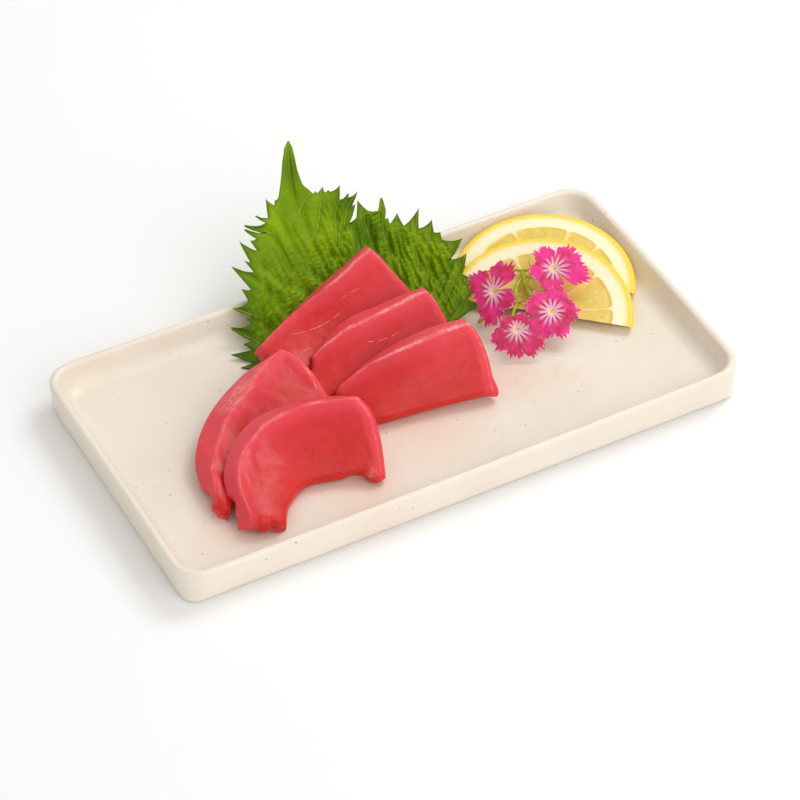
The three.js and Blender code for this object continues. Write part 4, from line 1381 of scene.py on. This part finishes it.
# Thin sepals and bracts that curl away from the stalks.
CURLS = [
    ([(52.4, 31.1, 13.0), (55.9, 29.5, 13.7), (59.3, 28.3, 14)], 0.2, 1.0),
    ([(68.7, 26, 17), (67.1, 24.2, 16.5), (66.9, 21.3, 15.5)], 0.12, 0.3),
    (
        [(63.9, 10.8, 15.5), (62.8, 9.7, 15), (61.8, 12.5, 15), (62.4, 16.7, 15), (65.4, 19.7, 15)],
        0.12, 0.32,
    ),
    ([(57.7, 9.8, 13.5), (57.1, 10.3, 14), (54.5, 10.3, 14)], 0.12, 0.3),
    ([(66.2, 15.5, 15.2), (65, 17.6, 15.4), (63.4, 20, 15)], 0.12, 0.35),
]
CALYX_NECK, CALYX_FOOT = Vector((0, 0, -1.9)), Vector((0, 0, -5.6))  # from the flower's middle
CALYX_RADII = (1.2, 1.35)
CALYX_SIDES = 14
END_POWER = 16  # the higher, the blunter are the ends of a stalk


def tube(name, route, start_radius, end_radius, sides=10, steps=24):
    """A stalk along a route, closed and rounded at both ends."""
    path = Path(route)
    side = path.heading(0.5).orthogonal().normalized()

    def place(column, row):
        along = row / steps
        heading = path.heading(along)
        u = (side - heading * side.dot(heading)).normalized()
        v = heading.cross(u)
        angle = math.tau * column / sides
        radius = start_radius + (end_radius - start_radius) * along
        radius *= math.sqrt(max(0.0, 1 - (2 * along - 1) ** END_POWER))
        return path.at(along) + (u * math.cos(angle) + v * math.sin(angle)) * radius

    piece = sheet(name, sides, steps, place)
    edit_all(piece, merge_doubles, face_outwards)
    return piece


def build_sprig(settings):
    routes = [*STALKS, *CURLS]
    parts = [tube(f"stalk_{k}", route, start, end) for k, (route, start, end) in enumerate(routes)]
    for k, head in enumerate(FLOWERS.values()):
        foot, neck = (head_matrix(head) @ end for end in (CALYX_FOOT, CALYX_NECK))
        route = [foot, (foot + neck) / 2, neck]
        parts.append(tube(f"calyx_{k}", route, *CALYX_RADII, sides=CALYX_SIDES))
    piece = join("flower_sprig", parts)
    dress(piece, sprig_finish(settings), "green_stalk", "flower_stem")


def sprig_finish(settings):
    finish = Finish("stalk_green")
    streaks = finish.fade(finish.noise(2.4, 3), 0.35, 0.65)
    finish.set(base_color=finish.mix(streaks, settings.stalk, settings.young_stalk), roughness=0.5)
    finish.relief((finish.noise(0.6, 2), 0.05))
    return finish.material


# ---------- stage ----------

VIEW_TURN = -28.34  # degrees round the plate from its front
VIEW_HEIGHT = 43.4  # degrees above the table
VIEW_CENTRE = Vector((1.56, -0.98, 0))
FOCAL_PIXELS = 3384
RENDER_WIDTH = 800
# Places in metres, the side of the square that shines and its watts.
LAMPS = {
    "key": ((0.55, 0.15, 0.82), 0.5, 3.6),
    "fill": ((0.3, -1.5, 0.95), 2.0, 15.0),
}
SKY_COLOUR = (1, 0.99, 0.97, 1)
FLOOR_SIDE = 8  # metres, in as many faces
FAR_END = 20  # metres that the camera sees


def add_camera(settings):
    turn, height = math.radians(VIEW_TURN), math.radians(VIEW_HEIGHT)
    level = math.cos(height)
    back = Vector((math.sin(turn) * level, -math.cos(turn) * level, math.sin(height)))
    bpy.ops.object.camera_add(
        location=VIEW_CENTRE * MM + back * settings.distance,
        rotation=back.to_track_quat("Z", "Y").to_euler(),
    )
    camera = bpy.context.object
    camera.data.lens = FOCAL_PIXELS * camera.data.sensor_width / RENDER_WIDTH
    camera.data.clip_end = FAR_END
    bpy.context.scene.camera = camera


def add_lamp(name, place, side, power):
    """A square soft light that faces the middle of the plate."""
    facing = Vector(place).to_track_quat("Z", "Y").to_euler()
    bpy.ops.object.light_add(type="AREA", location=place, rotation=facing)
    lamp = bpy.context.object
    lamp.name = name
    lamp.data.size = side
    lamp.data.energy = power


def build_stage(settings):
    bpy.ops.object.select_all(action="DESELECT")
    faces = {"x_subdivisions": FLOOR_SIDE, "y_subdivisions": FLOOR_SIDE}
    bpy.ops.mesh.primitive_grid_add(size=FLOOR_SIDE, **faces)
    floor = bpy.context.object
    floor.name = "floor"
    finish = Finish("plain_floor")
    finish.set(base_color=(*settings.floor, 1), roughness=0.85)
    floor.data.materials.append(finish.material)

    world = bpy.data.worlds.new("soft_sky")
    world.use_nodes = True
    sky = world.node_tree.nodes["Background"]
    sky.inputs["Color"].default_value = SKY_COLOUR
    sky.inputs["Strength"].default_value = settings.sky
    bpy.context.scene.world = world

    for name, lamp in LAMPS.items():
        add_lamp(name, *lamp)
    bpy.context.scene.view_settings.view_transform = "Standard"
    add_camera(settings)


# ---------- operators and panel ----------


class SASHIMI_OT_plate(bpy.types.Operator):
    """Adds the speckled stoneware plate"""

    bl_idname = "sashimi.plate"
    bl_label = "Plate"
    bl_options = {"REGISTER", "UNDO"}

    def execute(self, context):
        build_plate(context.scene.sashimi_glaze)
        return {"FINISHED"}


class SASHIMI_OT_tuna(bpy.types.Operator):
    """Adds the five slices of tuna"""

    bl_idname = "sashimi.tuna"
    bl_label = "Tuna"
    bl_options = {"REGISTER", "UNDO"}

    def execute(self, context):
        for index, node in enumerate(SLICES, 1):
            build_slice(context.scene.sashimi_tuna, index, node)
        return {"FINISHED"}


class SASHIMI_OT_shiso(bpy.types.Operator):
    """Adds the two toothed shiso leaves"""

    bl_idname = "sashimi.shiso"
    bl_label = "Shiso leaves"
    bl_options = {"REGISTER", "UNDO"}

    def execute(self, context):
        for index, node in enumerate(LEAVES, 1):
            build_leaf(context.scene.sashimi_shiso, index, node)
        return {"FINISHED"}


class SASHIMI_OT_lemon(bpy.types.Operator):
    """Adds the two cut slices of lemon"""

    bl_idname = "sashimi.lemon"
    bl_label = "Lemon slices"
    bl_options = {"REGISTER", "UNDO"}

    def execute(self, context):
        for index, node in enumerate(LEMON_SLICES, 1):
            build_lemon(context.scene.sashimi_lemon, index, node)
        return {"FINISHED"}


class SASHIMI_OT_flowers(bpy.types.Operator):
    """Adds the four fringed flower heads"""

    bl_idname = "sashimi.flowers"
    bl_label = "Flowers"
    bl_options = {"REGISTER", "UNDO"}

    def execute(self, context):
        for index, node in enumerate(FLOWERS, 1):
            build_flower(context.scene.sashimi_flowers, index, node)
        return {"FINISHED"}


class SASHIMI_OT_sprig(bpy.types.Operator):
    """Adds the green sprig that carries the flowers"""

    bl_idname = "sashimi.sprig"
    bl_label = "Sprig"
    bl_options = {"REGISTER", "UNDO"}

    def execute(self, context):
        build_sprig(context.scene.sashimi_sprig)
        return {"FINISHED"}


class SASHIMI_OT_stage(bpy.types.Operator):
    """Adds the floor, the lights and the camera"""

    bl_idname = "sashimi.stage"
    bl_label = "Stage"
    bl_options = {"REGISTER", "UNDO"}

    def execute(self, context):
        build_stage(context.scene.sashimi_studio)
        return {"FINISHED"}


OPERATORS = (
    SASHIMI_OT_plate,
    SASHIMI_OT_tuna,
    SASHIMI_OT_shiso,
    SASHIMI_OT_lemon,
    SASHIMI_OT_flowers,
    SASHIMI_OT_sprig,
    SASHIMI_OT_stage,
)
SETTINGS = {
    "sashimi_glaze": GlazeSettings,
    "sashimi_tuna": TunaSettings,
    "sashimi_shiso": ShisoSettings,
    "sashimi_lemon": LemonSettings,
    "sashimi_flowers": FlowerSettings,
    "sashimi_sprig": SprigSettings,
    "sashimi_studio": StudioSettings,
}


class SASHIMI_PT_panel(bpy.types.Panel):
    """Lists the pieces of the sashimi plate"""

    bl_idname = "SASHIMI_PT_panel"
    bl_label = "Sashimi plate"
    bl_space_type = "VIEW_3D"
    bl_region_type = "UI"
    bl_category = "Sashimi"

    def draw(self, context):
        for operator, (name, group) in zip(OPERATORS, SETTINGS.items()):
            box = self.layout.box()
            box.operator(operator.bl_idname)
            for key in group.__annotations__:
                box.prop(getattr(context.scene, name), key)


def register():
    for item in (*SETTINGS.values(), *OPERATORS, SASHIMI_PT_panel):
        bpy.utils.register_class(item)
    for name, group in SETTINGS.items():
        setattr(bpy.types.Scene, name, PointerProperty(type=group))


def unregister():
    for name in SETTINGS:
        delattr(bpy.types.Scene, name)
    for item in (SASHIMI_PT_panel, *reversed(OPERATORS), *reversed(SETTINGS.values())):
        bpy.utils.unregister_class(item)


def main():
    register()
    bpy.ops.sashimi.plate()
    bpy.ops.sashimi.tuna()
    bpy.ops.sashimi.shiso()
    bpy.ops.sashimi.lemon()
    bpy.ops.sashimi.flowers()
    bpy.ops.sashimi.sprig()
    bpy.ops.sashimi.stage()


if __name__ == "__main__":
    main()
